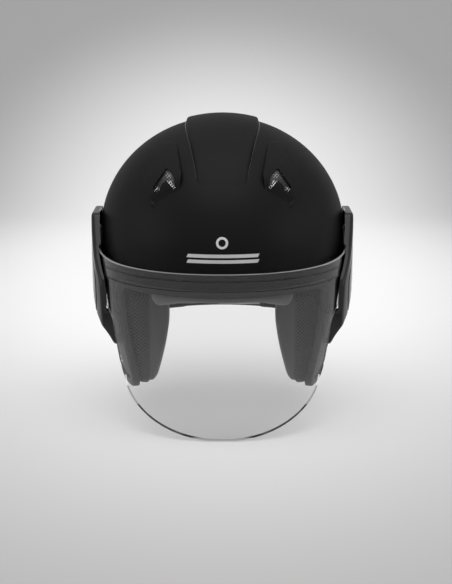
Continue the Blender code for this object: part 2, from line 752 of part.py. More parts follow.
def make_pivot(side, sign):
    def x_range(low, high):
        return sign * low * MM, sign * high * MM

    plate = prism("pivot_base_" + side, circle(PLATE_R, count=32),
                  sign * PLATE_IN, sign * PLATE_OUT, "X", "gloss_black")
    boolean(plate, prism("plate_bore_" + side, circle(BUSH_R + 0.4 * MM, count=20),
                         *x_range(110, 130), "X"))
    arc = [math.radians(a) for a in spaced(48, 132, 11)]
    slot = [(15.5 * MM * math.cos(a), 15.5 * MM * math.sin(a)) for a in arc]
    slot += [(10.5 * MM * math.cos(a), 10.5 * MM * math.sin(a)) for a in reversed(arc)]
    boolean(plate, prism("plate_slot_" + side, slot, *x_range(121.6, 130), "X"))
    arc = [math.radians(a) for a in spaced(54, 126, 11)]
    leaf = [(13.6 * MM * math.cos(a), 13.6 * MM * math.sin(a)) for a in arc]
    leaf += [(12.2 * MM * math.cos(a), 12.2 * MM * math.sin(a)) for a in reversed(arc)]
    prism("detent_spring_" + side, leaf, *x_range(121.95, 122.75), "X", "steel")
    for label, y in (("a", -17 * MM), ("b", 17 * MM)):
        z = -8 * MM
        sink = turned("plate_sink_%s_%s" % (label, side), [
            (sign * 110 * MM, 0.0), (sign * 110 * MM, 2.2 * MM),
            (sign * 121.5 * MM, 2.2 * MM), (sign * 121.5 * MM, 3.9 * MM),
            (sign * 130 * MM, 3.9 * MM), (sign * 130 * MM, 0.0)], (y, z), None, 16)
        boolean(plate, sink)
        turned("base_screw_%s_%s" % (label, side), [
            (sign * 117 * MM, 0.0), (sign * 117 * MM, 1.8 * MM),
            (sign * 121.8 * MM, 1.8 * MM), (sign * 121.8 * MM, 3.5 * MM),
            (sign * 122.3 * MM, 3.5 * MM), (sign * 122.7 * MM, 2.6 * MM),
            (sign * 122.7 * MM, 0.0)], (y, z), "steel", 16)
    turned_bush = prism("pivot_bush_" + side, circle(BUSH_R, count=20),
                        *x_range(114.5, 122.7), "X", "steel")
    boolean(turned_bush, prism("bush_bore_" + side, circle(SCREW_R + 0.4 * MM, count=20),
                               *x_range(100, 130), "X"))
    screw = turned("pivot_screw_" + side, [
        (sign * 115.5 * MM, 0.0), (sign * 115.5 * MM, SCREW_R),
        (sign * 128.0 * MM, SCREW_R), (sign * 128.0 * MM, 8.5 * MM),
        (sign * 129.2 * MM, 8.5 * MM), (sign * 129.7 * MM, 7.8 * MM),
        (sign * 129.7 * MM, 0.0)], (0, 0), "gloss_black", 24)
    boolean(screw, prism("coin_slot_" + side, rectangle(0, 0, 20 * MM, 1.6 * MM),
                         *x_range(129.0, 132), "X"))


# ---- chin strap and buckle -------------------------------------------------------------
def ribbon(name, points, width, thick, look="webbing"):
    """Flat webbing along (point, face normal) stations."""
    rings = []
    for i, (p, normal) in enumerate(points):
        before = points[max(0, i - 1)][0]
        after = points[min(len(points) - 1, i + 1)][0]
        tangent = (after - before).normalized()
        normal = (normal - tangent * normal.dot(tangent)).normalized()
        side = tangent.cross(normal)
        rings.append([p + side * (a * width / 2) + normal * (b * thick / 2)
                      for a, b in ((-1, -1), (1, -1), (1, 1), (-1, 1))])
    return loft(name, rings, look)


def strap_route(sign, x_end):
    """Hand-set stations from the anchor to the straight run behind the wearer's nape."""
    stations = [
        ((95.6, 24, -100.5), (1, 0, 0)), ((95.6, 30, -92), (1, 0, 0)),
        ((95.0, 37, -84), (1, 0.15, 0)), ((91.5, 46, -76), (1, 0.5, 0)),
        ((84.0, 55, -67), (0.8, 0.8, 0.1)), ((73, 62, -60), (0.4, 1, 0.1)),
        ((60, 67.0, -56), (0.1, 1, 0)), ((50, 68, -55), (0, 1, 0))]
    pts = [(Vector((sign * x * MM, y * MM, z * MM)), Vector((sign * a, b, c)))
           for (x, y, z), (a, b, c) in stations]
    pts.append((Vector((sign * x_end, STRAP_Y, STRAP_Z)), Vector((0, 1, 0))))
    return pts


def make_strap():
    for side, sign in SIDES:
        x_end = 41.5 * MM if side == "left" else 22.0 * MM
        strap = ribbon("strap_" + side, strap_route(sign, x_end), STRAP_WIDTH, STRAP_THICK)
        hole = prism("strap_hole_" + side, circle(2.9 * MM, (ANCHOR_Y, ANCHOR_Z), 16),
                     sign * 90 * MM, sign * 104 * MM, "X")
        boolean(strap, hole)
        plate = prism("strap_anchor_" + side,
                      rectangle(ANCHOR_Y, ANCHOR_Z, 20 * MM, 16 * MM, 4 * MM),
                      sign * 97.2 * MM, sign * 98.8 * MM, "X", "steel")
        boolean(plate, hole)
        outer = half_width(ANCHOR_Y, ANCHOR_Z)
        turned("strap_rivet_" + side, [
            (sign * 92.1 * MM, 0.0), (sign * 92.5 * MM, 3.4 * MM), (sign * 93.4 * MM, 4.6 * MM),
            (sign * 93.8 * MM, 4.6 * MM), (sign * 93.8 * MM, 2.4 * MM),
            (sign * (outer + 2.2 * MM), 2.4 * MM), (sign * (outer + 2.2 * MM), 5.5 * MM),
            (sign * (outer + 2.6 * MM), 5.2 * MM), (sign * (outer + 3.1 * MM), 3.4 * MM),
            (sign * (outer + 3.4 * MM), 0.0)], (ANCHOR_Y, ANCHOR_Z), "steel", 20)
    sleeve = prism("chin_pad", rectangle(STRAP_Y, STRAP_Z, 8.5 * MM, 30 * MM, 3.5 * MM),
                   -50 * MM, -27 * MM, "X", "fabric")
    boolean(sleeve, prism("sleeve_bore", rectangle(STRAP_Y, STRAP_Z, 3.4 * MM, 25 * MM),
                          -0.08, 0.0, "X"))


def box(name, x, y, z, look=None):
    return prism(name, [(x[0] * MM, y[0] * MM), (x[1] * MM, y[0] * MM),
                        (x[1] * MM, y[1] * MM), (x[0] * MM, y[1] * MM)],
                 z[0] * MM, z[1] * MM, "Z", look)


def make_buckle():
    """Ratchet buckle in the strap's straight run; the wearer's side faces -Y."""
    housing = box("buckle_housing", (-4, 40), (61.5, 74), (-69, -41), "steel")
    boolean(housing, box("housing_channel", (-10, 33), (66.2, 71.6), (-66.4, -43.6)))
    boolean(housing, box("housing_top", (-10, 50), (55, 66.9), (-66, -44)))
    boolean(housing, prism("pin_holes", circle(1.6 * MM, (35.0 * MM, 63.7 * MM), 16),
                           -0.075, -0.03, "Z"))
    tongue = box("buckle_tongue", (-21.5, 20), (66.9, 69.1), (-65.5, -44.5), "steel")
    for i in range(7):
        x = -1.0 + 3.0 * i
        notch = prism("ratchet_%d" % i,
                      [(x * MM, 66.0 * MM), ((x + 2.6) * MM, 66.0 * MM), (x * MM, 67.7 * MM)],
                      -0.0675, -0.0425, "Z")
        boolean(tongue, notch)
    lever = box("buckle_lever", (-6, 31.5), (61.8, 64.0), (-65.3, -44.7), "red")
    knuckle = prism("lever_knuckle", circle(2.5 * MM, (35.0 * MM, 63.7 * MM), 20),
                    -65.3 * MM, -44.7 * MM, "Z")
    boolean(lever, box("lever_neck", (31, 35), (62.2, 64.2), (-65.3, -44.7)), "UNION")
    boolean(lever, knuckle, "UNION")
    boolean(lever, prism("lever_bore", circle(1.55 * MM, (35.0 * MM, 63.7 * MM), 16),
                         -0.075, -0.03, "Z"))
    prism("lever_pin", circle(1.15 * MM, (35.0 * MM, 63.7 * MM), 16),
          -68.8 * MM, -41.2 * MM, "Z", "steel")
    leaf = [(28.0, 64.35), (28.0, 64.75), (20.0, 64.9), (12.5, 66.4), (12.2, 66.0),
            (19.5, 64.35)]
    prism("lever_spring", [(a * MM, b * MM) for a, b in leaf], -58 * MM, -52 * MM, "Z", "steel")


def main():
    make_shell()
    make_roof_panel()
    make_rear_grille()
    make_vents()
    make_liner()
    make_brow_and_neck()
    make_cheeks()
    make_trim()
    make_visor()
    for side, sign in SIDES:
        make_cover(side, sign)
        make_pivot(side, sign)
    make_strap()
    make_buckle()


main()
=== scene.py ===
"""Looks of the open face motorcycle helmet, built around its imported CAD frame.

Metres, +Z up, in the frame's own axes: the face looks towards -Y, the wearer's left is +X.
"""

import math

import bmesh
import bpy
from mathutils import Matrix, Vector


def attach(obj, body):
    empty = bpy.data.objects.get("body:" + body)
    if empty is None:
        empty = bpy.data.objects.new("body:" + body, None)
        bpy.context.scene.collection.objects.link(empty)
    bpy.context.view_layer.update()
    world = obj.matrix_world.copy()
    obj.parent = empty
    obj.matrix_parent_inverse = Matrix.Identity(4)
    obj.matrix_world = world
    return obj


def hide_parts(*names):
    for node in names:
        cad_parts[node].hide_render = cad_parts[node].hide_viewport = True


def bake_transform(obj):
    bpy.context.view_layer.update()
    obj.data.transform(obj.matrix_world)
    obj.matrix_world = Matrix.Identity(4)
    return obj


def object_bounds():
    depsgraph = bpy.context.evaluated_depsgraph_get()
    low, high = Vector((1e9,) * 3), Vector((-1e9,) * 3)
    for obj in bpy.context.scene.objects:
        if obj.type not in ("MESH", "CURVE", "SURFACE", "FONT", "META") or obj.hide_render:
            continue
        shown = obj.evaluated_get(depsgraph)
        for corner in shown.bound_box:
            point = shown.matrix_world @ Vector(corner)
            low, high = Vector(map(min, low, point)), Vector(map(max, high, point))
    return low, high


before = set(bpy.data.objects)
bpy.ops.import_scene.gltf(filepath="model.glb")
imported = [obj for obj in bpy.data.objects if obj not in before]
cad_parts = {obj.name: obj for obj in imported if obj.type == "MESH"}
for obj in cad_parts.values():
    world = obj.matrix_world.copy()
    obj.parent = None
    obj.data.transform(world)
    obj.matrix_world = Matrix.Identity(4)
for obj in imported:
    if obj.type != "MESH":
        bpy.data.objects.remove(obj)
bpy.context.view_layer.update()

MM = 0.001
SIDES = (("left", 1), ("right", -1))

# ---- the frame's driving sizes, repeated so that the fine surfaces match it
SHELL_HALF_WIDTH = 123.5 * MM
SHELL_FRONT = 153.0 * MM
SHELL_REAR = 133.0 * MM
SHELL_MID_Y = 15.0 * MM
SHELL_DOME = 114.6 * MM
EQUATOR_Z = 19.4 * MM
SHELL_WALL = 3.4 * MM
SKIRT_DEPTH = 141.0 * MM
SKIRT_NARROWING = 0.178
NAPE_TUCK = 0.30
BOSS_X = 120.5 * MM
BOSS_R = 30.0 * MM
BOSS_BLEND = 14.0 * MM
BROW_Z = -17.0 * MM
CHEEK_Y = -68.0 * MM
RIM_Z = -122.0 * MM
NAPE_Z = -77.0 * MM
RIM_CORNERS = [(CHEEK_Y, BROW_Z, 16 * MM), (CHEEK_Y, RIM_Z, 12 * MM),
               (48 * MM, RIM_Z, 25 * MM), (86 * MM, NAPE_Z, 22 * MM)]
EPS_OFFSET = -5.6 * MM
EPS_INNER = -27.0 * MM

VISOR_HALF_WIDTH = 125.2 * MM
VISOR_REACH = 151.0 * MM
VISOR_POWER = 2.2
VISOR_WALL = 2.0 * MM
VISOR_TOP_Z = 4.5 * MM
VISOR_EAR_R = 27.0 * MM
VISOR_EAR_BLEND = 50.0 * MM
VISOR_CHIN_Z = -99.0 * MM
VISOR_CHIN_HALF = 93.5 * MM
VISOR_CHIN_DROP = 55.0 * MM
VISOR_LIFT = 60.0
BAND_RIB = 0.7 * MM

COVER_X = 130.0 * MM
COVER_GAP = 1.3 * MM
COVER_MIN = 2.0 * MM
COVER_WALL = 2.5 * MM

PAD_SEAM_X = 71.5 * MM
STRAP_WIDTH = 22.0 * MM
STRAP_THICK = 1.8 * MM


# ---- node materials
class Shade:
    """A Principled material with a short way to wire nodes into it."""

    def __init__(self, name, colour, roughness, metallic=0.0, specular=0.5):
        self.mat = bpy.data.materials.new(name)
        self.mat.use_nodes = True
        self.tree = self.mat.node_tree
        self.bsdf = self.tree.nodes["Principled BSDF"]
        self.bsdf.inputs["Base Color"].default_value = (*colour, 1.0)
        self.bsdf.inputs["Roughness"].default_value = roughness
        self.bsdf.inputs["Metallic"].default_value = metallic
        self.bsdf.inputs["Specular IOR Level"].default_value = specular
        self.coords = self.tree.nodes.new("ShaderNodeTexCoord").outputs["Object"]
        self.normal = None

    def node(self, kind, **values):
        made = self.tree.nodes.new(kind)
        for key, value in values.items():
            if key in made.inputs:
                socket = made.inputs[key]
                if hasattr(value, "links"):
                    self.tree.links.new(value, socket)
                else:
                    socket.default_value = value
            else:
                setattr(made, key, value)
        return made

    def link(self, source, socket):
        self.tree.links.new(source, self.bsdf.inputs[socket])

    def math(self, operation, a, b=0.0, c=0.0):
        made = self.tree.nodes.new("ShaderNodeMath")
        made.operation = operation
        for socket, value in zip(made.inputs, (a, b, c)):
            if hasattr(value, "links"):
                self.tree.links.new(value, socket)
            else:
                socket.default_value = value
        return made.outputs[0]

    def noise(self, scale, detail=4.0, stretch=None):
        vector = self.coords
        if stretch:
            mapping = self.node("ShaderNodeMapping", Vector=vector)
            mapping.inputs["Scale"].default_value = stretch
            vector = mapping.outputs[0]
        made = self.node("ShaderNodeTexNoise", Vector=vector, Scale=scale, Detail=detail)
        return made.outputs[0]

    def axes(self):
        split = self.node("ShaderNodeSeparateXYZ", Vector=self.coords)
        return split.outputs[0], split.outputs[1], split.outputs[2]

    def bump(self, height, strength, distance):
        made = self.node("ShaderNodeBump", Height=height, Strength=strength,
                         Distance=distance)
        if self.normal is not None:
            self.tree.links.new(self.normal, made.inputs["Normal"])
        self.normal = made.outputs[0]
        self.link(self.normal, "Normal")

    def rough(self, value, low, high):
        """Roughness between two levels, by a value from 0 to 1."""
        made = self.node("ShaderNodeMapRange", Value=value)
        made.inputs["To Min"].default_value = low
        made.inputs["To Max"].default_value = high
        self.link(made.outputs[0], "Roughness")

    def vary(self, factor, dark, light):
        """Base colour between two shades, by a factor."""
        made = self.node("ShaderNodeMix")
        made.data_type = "RGBA"
        self.tree.links.new(factor, made.inputs[0])
        made.inputs[6].default_value = (*dark, 1.0)
        made.inputs[7].default_value = (*light, 1.0)
        self.link(made.outputs[2], "Base Color")


def grey(value):
    return (value, value, value)


def matte_shell_look():
    """Satin-matte paint: very fine orange peel and faint handling marks."""
    s = Shade("shell_matte_paint", grey(0.0038), 0.46, specular=0.10)
    s.rough(s.noise(26.0, 5.0), 0.40, 0.50)
    s.vary(s.noise(9.0, 3.0), grey(0.0033), grey(0.0045))
    s.bump(s.noise(2600.0, 2.0), 0.10, 0.0002)
    return s.mat


def gloss_look(name, specular):
    """Piano-black moulding with faint waviness and hairline scratches."""
    s = Shade(name, grey(0.004), 0.10, specular=specular)
    s.rough(s.noise(90.0, 6.0, (1.0, 1.0, 5.0)), 0.07, 0.19)
    s.vary(s.noise(14.0, 2.0), grey(0.003), grey(0.006))
    s.bump(s.noise(35.0, 1.0), 0.06, 0.0006)
    return s.mat


def grain_look(name, value, roughness, scale=1500.0, specular=0.35):
    """Moulded plastic or rubber with a fine pebble grain."""
    s = Shade(name, grey(value), roughness, specular=specular)
    s.rough(s.noise(40.0), roughness - 0.08, roughness + 0.08)
    s.vary(s.noise(24.0, 3.0), grey(value * 0.8), grey(value * 1.3))
    cells = s.node("ShaderNodeTexVoronoi", Vector=s.coords, Scale=scale)
    s.bump(cells.outputs["Distance"], 0.35, 0.0003)
    return s.mat


def eps_look():
    """Pressed foam: bead cells a few millimetres across."""
    s = Shade("liner_foam", grey(0.035), 0.9, specular=0.2)
    cells = s.node("ShaderNodeTexVoronoi", Vector=s.coords, Scale=330.0)
    s.vary(cells.outputs["Distance"], grey(0.028), grey(0.05))
    s.rough(s.noise(30.0), 0.82, 0.95)
    s.bump(cells.outputs["Distance"], 0.6, 0.0010)
    return s.mat


def steel_look():
    s = Shade("brushed_plate", (0.56, 0.57, 0.59), 0.32, metallic=1.0)
    brushed = s.noise(220.0, 5.0, (1.0, 1.0, 22.0))
    s.rough(brushed, 0.24, 0.42)
    s.vary(s.noise(60.0), (0.50, 0.51, 0.53), (0.62, 0.63, 0.65))
    s.bump(brushed, 0.12, 0.0002)
    return s.mat


def lever_look():
    s = Shade("release_lever", (0.42, 0.02, 0.015), 0.34, specular=0.5)
    s.rough(s.noise(50.0), 0.26, 0.42)
    s.vary(s.noise(20.0), (0.36, 0.015, 0.012), (0.48, 0.028, 0.02))
    s.bump(s.noise(1400.0), 0.12, 0.0002)
    return s.mat


def decal_look():
    s = Shade("silver_print", grey(0.62), 0.38, metallic=0.75)
    s.rough(s.noise(80.0), 0.30, 0.46)
    s.vary(s.noise(40.0), grey(0.54), grey(0.70))
    s.bump(s.noise(1800.0), 0.08, 0.0001)
    return s.mat


def wire_look():
    s = Shade("screen_wire", grey(0.75), 0.16, metallic=1.0)
    s.rough(s.noise(120.0), 0.10, 0.28)
    s.vary(s.noise(150.0, 3.0), grey(0.35), grey(0.90))
    s.bump(s.noise(700.0, 3.0), 0.5, 0.0005)
    return s.mat


def visor_look():
    """Clear polycarbonate with a trace of grey, dust and wipe marks."""
    s = Shade("visor_polycarbonate", grey(0.86), 0.02, specular=0.5)
    s.bsdf.inputs["Transmission Weight"].default_value = 1.0
    s.bsdf.inputs["IOR"].default_value = 1.5
    wiped = s.noise(60.0, 6.0, (1.0, 1.0, 0.25))
    s.rough(wiped, 0.0, 0.025)
    s.vary(s.noise(12.0, 2.0), grey(0.855), grey(0.875))
    return s.mat


def weave(s, pitch):
    """Height of a plain weave that needs no UVs, from the object's own axes."""
    x, y, z = s.axes()
    k = 2 * math.pi / pitch
    across = s.math("MULTIPLY", s.math("ADD", x, y), k)
    along = s.math("MULTIPLY", z, k)
    return s.math("MULTIPLY", s.math("SINE", across), s.math("SINE", along))


def fabric_look():
    """Brushed knit lining."""
    value = 0.17
    s = Shade("lining_fabric", grey(value), 0.9, specular=0.25)
    s.bsdf.inputs["Sheen Weight"].default_value = 0.35
    s.bsdf.inputs["Sheen Roughness"].default_value = 0.5
    s.vary(s.noise(40.0, 3.0), grey(value * 0.88), grey(value * 1.12))
    s.rough(s.noise(35.0), 0.82, 0.97)
    s.bump(s.noise(900.0, 4.0), 0.12, 0.0004)
    s.bump(weave(s, 1.5 * MM), 0.15, 0.0003)
    return s.mat


def mesh_fabric_look():
    """Diamond mesh over the outer part of the cheek pads, smooth knit on the inner part."""
    value = 0.11
    pitch = 7.0 * MM
    s = Shade("cheek_mesh_fabric", grey(value), 0.85, specular=0.3)
    s.bsdf.inputs["Sheen Weight"].default_value = 0.3
    x, y, z = s.axes()
    k = 2 * math.pi / pitch
    across = s.math("ADD", x, s.math("MULTIPLY", y, 0.8))
    a = s.math("SINE", s.math("MULTIPLY", s.math("ADD", across, z), k))
    b = s.math("SINE", s.math("MULTIPLY", s.math("SUBTRACT", across, z), k))
    holes = s.math("SMOOTH_MIN", s.math("ABSOLUTE", a), s.math("ABSOLUTE", b), 0.25)
    reach = s.math("ABSOLUTE", x)
    outer = s.node("ShaderNodeMapRange", Value=reach)
    outer.inputs["From Min"].default_value = PAD_SEAM_X - 1 * MM
    outer.inputs["From Max"].default_value = PAD_SEAM_X + 1 * MM
    lace = s.math("MULTIPLY", holes, outer.outputs[0])
    s.vary(s.math("ADD", lace, s.math("MULTIPLY", s.noise(40.0, 3.0), 0.10)),
           grey(value), grey(value * 0.06))
    s.rough(s.noise(35.0), 0.78, 0.95)
    s.bump(s.noise(900.0, 4.0), 0.10, 0.0004)
    s.bump(s.math("MULTIPLY", lace, -1.0), 0.6, 0.0010)
    return s.mat


def webbing_look():
    """Woven nylon webbing with diagonal ribs."""
    s = Shade("nylon_webbing", grey(0.022), 0.7, specular=0.35)
    x, y, z = s.axes()
    k = 2 * math.pi / (2.4 * MM)
    run = s.math("ADD", x, y)
    slant = s.math("SINE", s.math("MULTIPLY", s.math("ADD", run, s.math("MULTIPLY", z, 0.7)), k))
    cross = s.math("SINE", s.math("MULTIPLY", z, 2 * math.pi / (1.3 * MM)))
    height = s.math("MULTIPLY", slant, cross)
    s.vary(s.math("ADD", s.math("MULTIPLY", height, 0.5), 0.5), grey(0.013), grey(0.034))
    s.rough(s.noise(50.0), 0.6, 0.8)
    s.bump(height, 0.7, 0.0005)
    return s.mat


def painted_glow_sweep_look():
    """White sweep with painted light: it glows a little, a painted pool of light that is
    brightest at the middle of the set and less with distance from it.
    """
    s = Shade("studio_sweep", grey(0.40), 0.9, specular=0.1)
    x, y, z = s.axes()
    middle_y, middle_z = 0.72, -0.063
    across = s.math("POWER", s.math("MULTIPLY", x, 1.83), 2.0)
    deep = s.math("POWER", s.math("SUBTRACT", y, middle_y), 2.0)
    deep = s.math("MULTIPLY", deep, 0.72)
    high = s.math("POWER", s.math("MULTIPLY", s.math("SUBTRACT", z, middle_z), 2.9), 2.0)
    reach = s.math("SQRT", s.math("ADD", s.math("ADD", across, deep), high))
    # painted light: the glow's strength falls off from the middle of the set, a painted pool of
    # light
    fade = s.node("ShaderNodeMapRange", Value=reach)
    fade.interpolation_type = "SMOOTHSTEP"
    fade.inputs["From Min"].default_value = 0.43
    fade.inputs["From Max"].default_value = 1.23
    fade.inputs["To Min"].default_value = 0.58
    fade.inputs["To Max"].default_value = 0.0
    s.bsdf.inputs["Emission Color"].default_value = (1.0, 1.0, 1.0, 1.0)
    s.link(fade.outputs[0], "Emission Strength")
    s.vary(s.noise(3.0), grey(0.39), grey(0.41))
    s.bump(s.noise(400.0), 0.02, 0.0002)
    return s.mat


LOOK = {
    "shell": matte_shell_look(),
    "gloss": gloss_look("cover_gloss", 0.30),
    "scoop": gloss_look("scoop_rim", 1.0),
    "trim": grain_look("edge_rubber", 0.018, 0.55, 900.0),
    "seam": gloss_look("seam_black", 0.35),
    "plastic": grain_look("dark_moulding", 0.016, 0.42),
    "eps": eps_look(),
    "steel": steel_look(),
    "lever": lever_look(),
    "decal": decal_look(),
    "wire": wire_look(),
    "visor": visor_look(),
    "visor_edge": grain_look("visor_cut_edge", 0.30, 0.4, 700.0, 0.4),
    "fabric": fabric_look(),
    "mesh": mesh_fabric_look(),
    "webbing": webbing_look(),
}


# ---- mesh helpers
def new_object(name, verts, faces, look=None, smooth=True):
    """Object from points and faces, welded, its faces turned out."""
    mesh = bpy.data.meshes.new(name)
    mesh.from_pydata([tuple(v) for v in verts], [], faces)
    bm = bmesh.new()
    bm.from_mesh(mesh)
    bmesh.ops.remove_doubles(bm, verts=bm.verts, dist=1e-6)
    bmesh.ops.recalc_face_normals(bm, faces=bm.faces)
    bm.to_mesh(mesh)
    bm.free()
    obj = bpy.data.objects.new(name, mesh)
    bpy.context.scene.collection.objects.link(obj)
    if look:
        obj.data.materials.append(LOOK[look])
    if smooth:
        mesh.shade_smooth()
    return obj


def settle(obj):
    """Replaces the object's mesh with its evaluated one and drops its modifiers."""
    graph = bpy.context.evaluated_depsgraph_get()
    graph.update()
    mesh = bpy.data.meshes.new_from_object(obj.evaluated_get(graph))
    obj.modifiers.clear()
    obj.data = mesh
    return obj


def cut(obj, cutters, operation="DIFFERENCE"):
    """Boolean by each cutter in turn, applied; the cutters are removed."""
    for cutter in cutters:
        mod = obj.modifiers.new("cut", "BOOLEAN")
        mod.operation = operation
        mod.solver = "EXACT"
        mod.object = cutter
        bpy.context.view_layer.update()
        settle(obj)
        bpy.data.objects.remove(cutter, do_unlink=True)
    return obj


def crisp(obj, angle=32.0):
    """Smooth shading that keeps edges sharper than the angle."""
    obj.data.shade_smooth()
    obj.data.set_sharp_from_angle(angle=math.radians(angle))
    return obj


def bevel(obj, width, segments=2):
    mod = obj.modifiers.new("edge", "BEVEL")
    mod.width = width
    mod.segments = segments
    mod.limit_method = "ANGLE"
    mod.angle_limit = math.radians(32)
    mod.harden_normals = False
    return obj


def rounded(corners, steps=8):
    """Outline from (a, b, radius) corners; radius 0 keeps the corner sharp."""
    pts = []
    count = len(corners)
    for i, (a, b, radius) in enumerate(corners):
        here = Vector((a, b))
        if radius <= 0.0:
            pts.append(here)
            continue
        before = (Vector(corners[i - 1][:2]) - here).normalized()
        after = (Vector(corners[(i + 1) % count][:2]) - here).normalized()
        half = before.angle(after) / 2
        trim = radius / math.tan(half)
        centre = here + (before + after).normalized() * (radius / math.sin(half))
        first = here + before * trim - centre
        last = here + after * trim - centre
        turn = first.angle_signed(last)
        for k in range(steps + 1):
            ang = -turn * k / steps
            pts.append(centre + Vector((
                first.x * math.cos(ang) - first.y * math.sin(ang),
                first.x * math.sin(ang) + first.y * math.cos(ang))))
    return pts


def prism(name, outline, low, high, axis="X"):
    """An outline pulled along an axis from low to high."""
    order = {"X": lambda a, b, h: (h, a, b),
             "Y": lambda a, b, h: (a, h, b),
             "Z": lambda a, b, h: (a, b, h)}[axis]
    count = len(outline)
    verts = [order(p[0], p[1], low) for p in outline]
    verts += [order(p[0], p[1], high) for p in outline]
    faces = [list(range(count)), list(range(2 * count - 1, count - 1, -1))]
    for i in range(count):
        j = (i + 1) % count
        faces.append([i, j, count + j, count + i])
    return new_object(name, verts, faces, smooth=False)


def circle(radius):
    return [(radius * math.cos(2 * math.pi * i / 48), radius * math.sin(2 * math.pi * i / 48))
            for i in range(48)]


def loft(name, rings, look, closed=False):
    """Skin over rings of points, capped at both ends or closed on itself."""
    size = len(rings[0])
    verts = [v for ring in rings for v in ring]
    faces = []
    for r in range(len(rings) if closed else len(rings) - 1):
        s = (r + 1) % len(rings)
        for i in range(size):
            j = (i + 1) % size
            faces.append([r * size + i, r * size + j, s * size + j, s * size + i])
    if not closed:
        faces.append(list(range(size)))
        faces.append([(len(rings) - 1) * size + i for i in range(size)])
    return new_object(name, verts, faces, look)


def two_sheets(name, outer, inner, look):
    """A plate between two grids of points, joined round the edge."""
    rows, cols = len(outer), len(outer[0])
    verts = [v for row in outer for v in row] + [v for row in inner for v in row]
    base = rows * cols
    faces = []
    for i in range(rows - 1):
        for j in range(cols - 1):
            a = i * cols + j
            faces.append([a, a + 1, a + cols + 1, a + cols])
            faces.append([base + a, base + a + cols, base + a + cols + 1, base + a + 1])
    edge = list(range(cols))
    edge += [i * cols + cols - 1 for i in range(1, rows)]
    edge += [(rows - 1) * cols + j for j in range(cols - 2, -1, -1)]
    edge += [i * cols for i in range(rows - 2, 0, -1)]
    for a, b in zip(edge, edge[1:] + edge[:1]):
        faces.append([a, b, base + b, base + a])
    return new_object(name, verts, faces, look)


def smooth_step(t):
    t = min(max(t, 0.0), 1.0)
    return t * t * (3 - 2 * t)


def spaced(low, high, count):
    return [low + (high - low) * i / (count - 1) for i in range(count)]


def finish_piece(obj, body, nodes=()):
    """Puts the piece on its body, in place of CAD nodes."""
    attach(obj, body)
    if nodes:
        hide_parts(*nodes)
    return obj


# ---- the shell's surface
def section(z, off=0.0):
    """Half-width, front and rear half-length of the shell's horizontal section at z."""
    if z >= EQUATOR_Z:
        rise = (z - EQUATOR_Z) / (SHELL_DOME + off)
        k = math.sqrt(max(0.0, 1 - rise * rise))
        return ((SHELL_HALF_WIDTH + off) * k, (SHELL_FRONT + off) * k, (SHELL_REAR + off) * k)
    drop = (EQUATOR_Z - z) / SKIRT_DEPTH
    width = SHELL_HALF_WIDTH * (1 - SKIRT_NARROWING * drop ** 2.1) + off
    tuck = NAPE_TUCK * ((EQUATOR_Z - z) / (105 * MM)) ** 2
    return (width, SHELL_FRONT + off, SHELL_REAR * (1 - tuck) + off)


def half_width(y, z, off=0.0):
    """Half-width of the shell at a side-view point, or None beyond its outline."""
    width, front, rear = section(z, off)
    length = front if y < SHELL_MID_Y else rear
    inside = 1 - ((y - SHELL_MID_Y) / length) ** 2 if length > 0 else -1
    return width * math.sqrt(inside) if inside >= 0 else None


def with_boss(x, y, z, off):
    """The x of a shell point, drawn to the flat boss round the visor's pivot."""
    t = smooth_step((math.hypot(y, z) - BOSS_R) / BOSS_BLEND)
    flat = BOSS_X + off
    return math.copysign(abs(x) * t + flat * (1 - t), x) if abs(x) > 60 * MM else x


def shell_point(phi, z, off=0.0):
    """Point of the shell's surface at an angle round from the front and a height."""
    width, front, rear = section(z, off)
    length = front if math.cos(phi) > 0 else rear
    x = width * math.sin(phi)
    y = SHELL_MID_Y - length * math.cos(phi)
    return Vector((with_boss(x, y, z, off), y, z))


def dome_point(x, t, off=0.0):
    """Point of the dome on the line at x, t round from the front, over the top, to the back."""
    k = math.sqrt(max(0.0, 1 - (x / (SHELL_HALF_WIDTH + off)) ** 2))
    length = (SHELL_FRONT if math.cos(t) > 0 else SHELL_REAR) + off
    return Vector((x, SHELL_MID_Y - length * k * math.cos(t),
                   EQUATOR_Z + (SHELL_DOME + off) * k * math.sin(t)))


def dome(name, outer, inner, low, levels, around, look):
    """Cap of the shell between two offsets, from the height low up to the crown."""
    skirt = 0.48
    verts = []
    rings = []
    for off in (outer, inner):
        sheet = []
        for i in range(levels):
            t = i / levels
            if t < skirt:
                z = low + (EQUATOR_Z - low) * t / skirt
            else:
                rise = (t - skirt) / (1 - skirt) * math.pi / 2
                z = EQUATOR_Z + (SHELL_DOME + off) * math.sin(rise)
            sheet.append(len(verts))
            for k in range(around):
                verts.append(shell_point(2 * math.pi * k / around, z, off))
        rings.append(sheet)
        verts.append(Vector((0.0, SHELL_MID_Y, EQUATOR_Z + SHELL_DOME + off)))
        sheet.append(len(verts) - 1)
    faces = []
    for sheet in rings:
        for a, b in zip(sheet[:-1], sheet[1:-1]):
            for k in range(around):
                m = (k + 1) % around
                faces.append([a + k, a + m, b + m, b + k])
        for k in range(around):
            faces.append([sheet[-2] + k, sheet[-2] + (k + 1) % around, sheet[-1]])
    for k in range(around):
        m = (k + 1) % around
        faces.append([rings[0][0] + k, rings[0][0] + m, rings[1][0] + m, rings[1][0] + k])
    return new_object(name, verts, faces, look)


def below(name, corners):
    """Cutter for all that lies below and in front of a rim line in the side view."""
    far = 0.25
    line = [(-far, corners[0][1], 0.0)] + corners + [(far, corners[-1][1], 0.0)]
    line += [(far, -far, 0.0), (-far, -far, 0.0)]
    return prism(name, rounded(line), -far, far, "X")


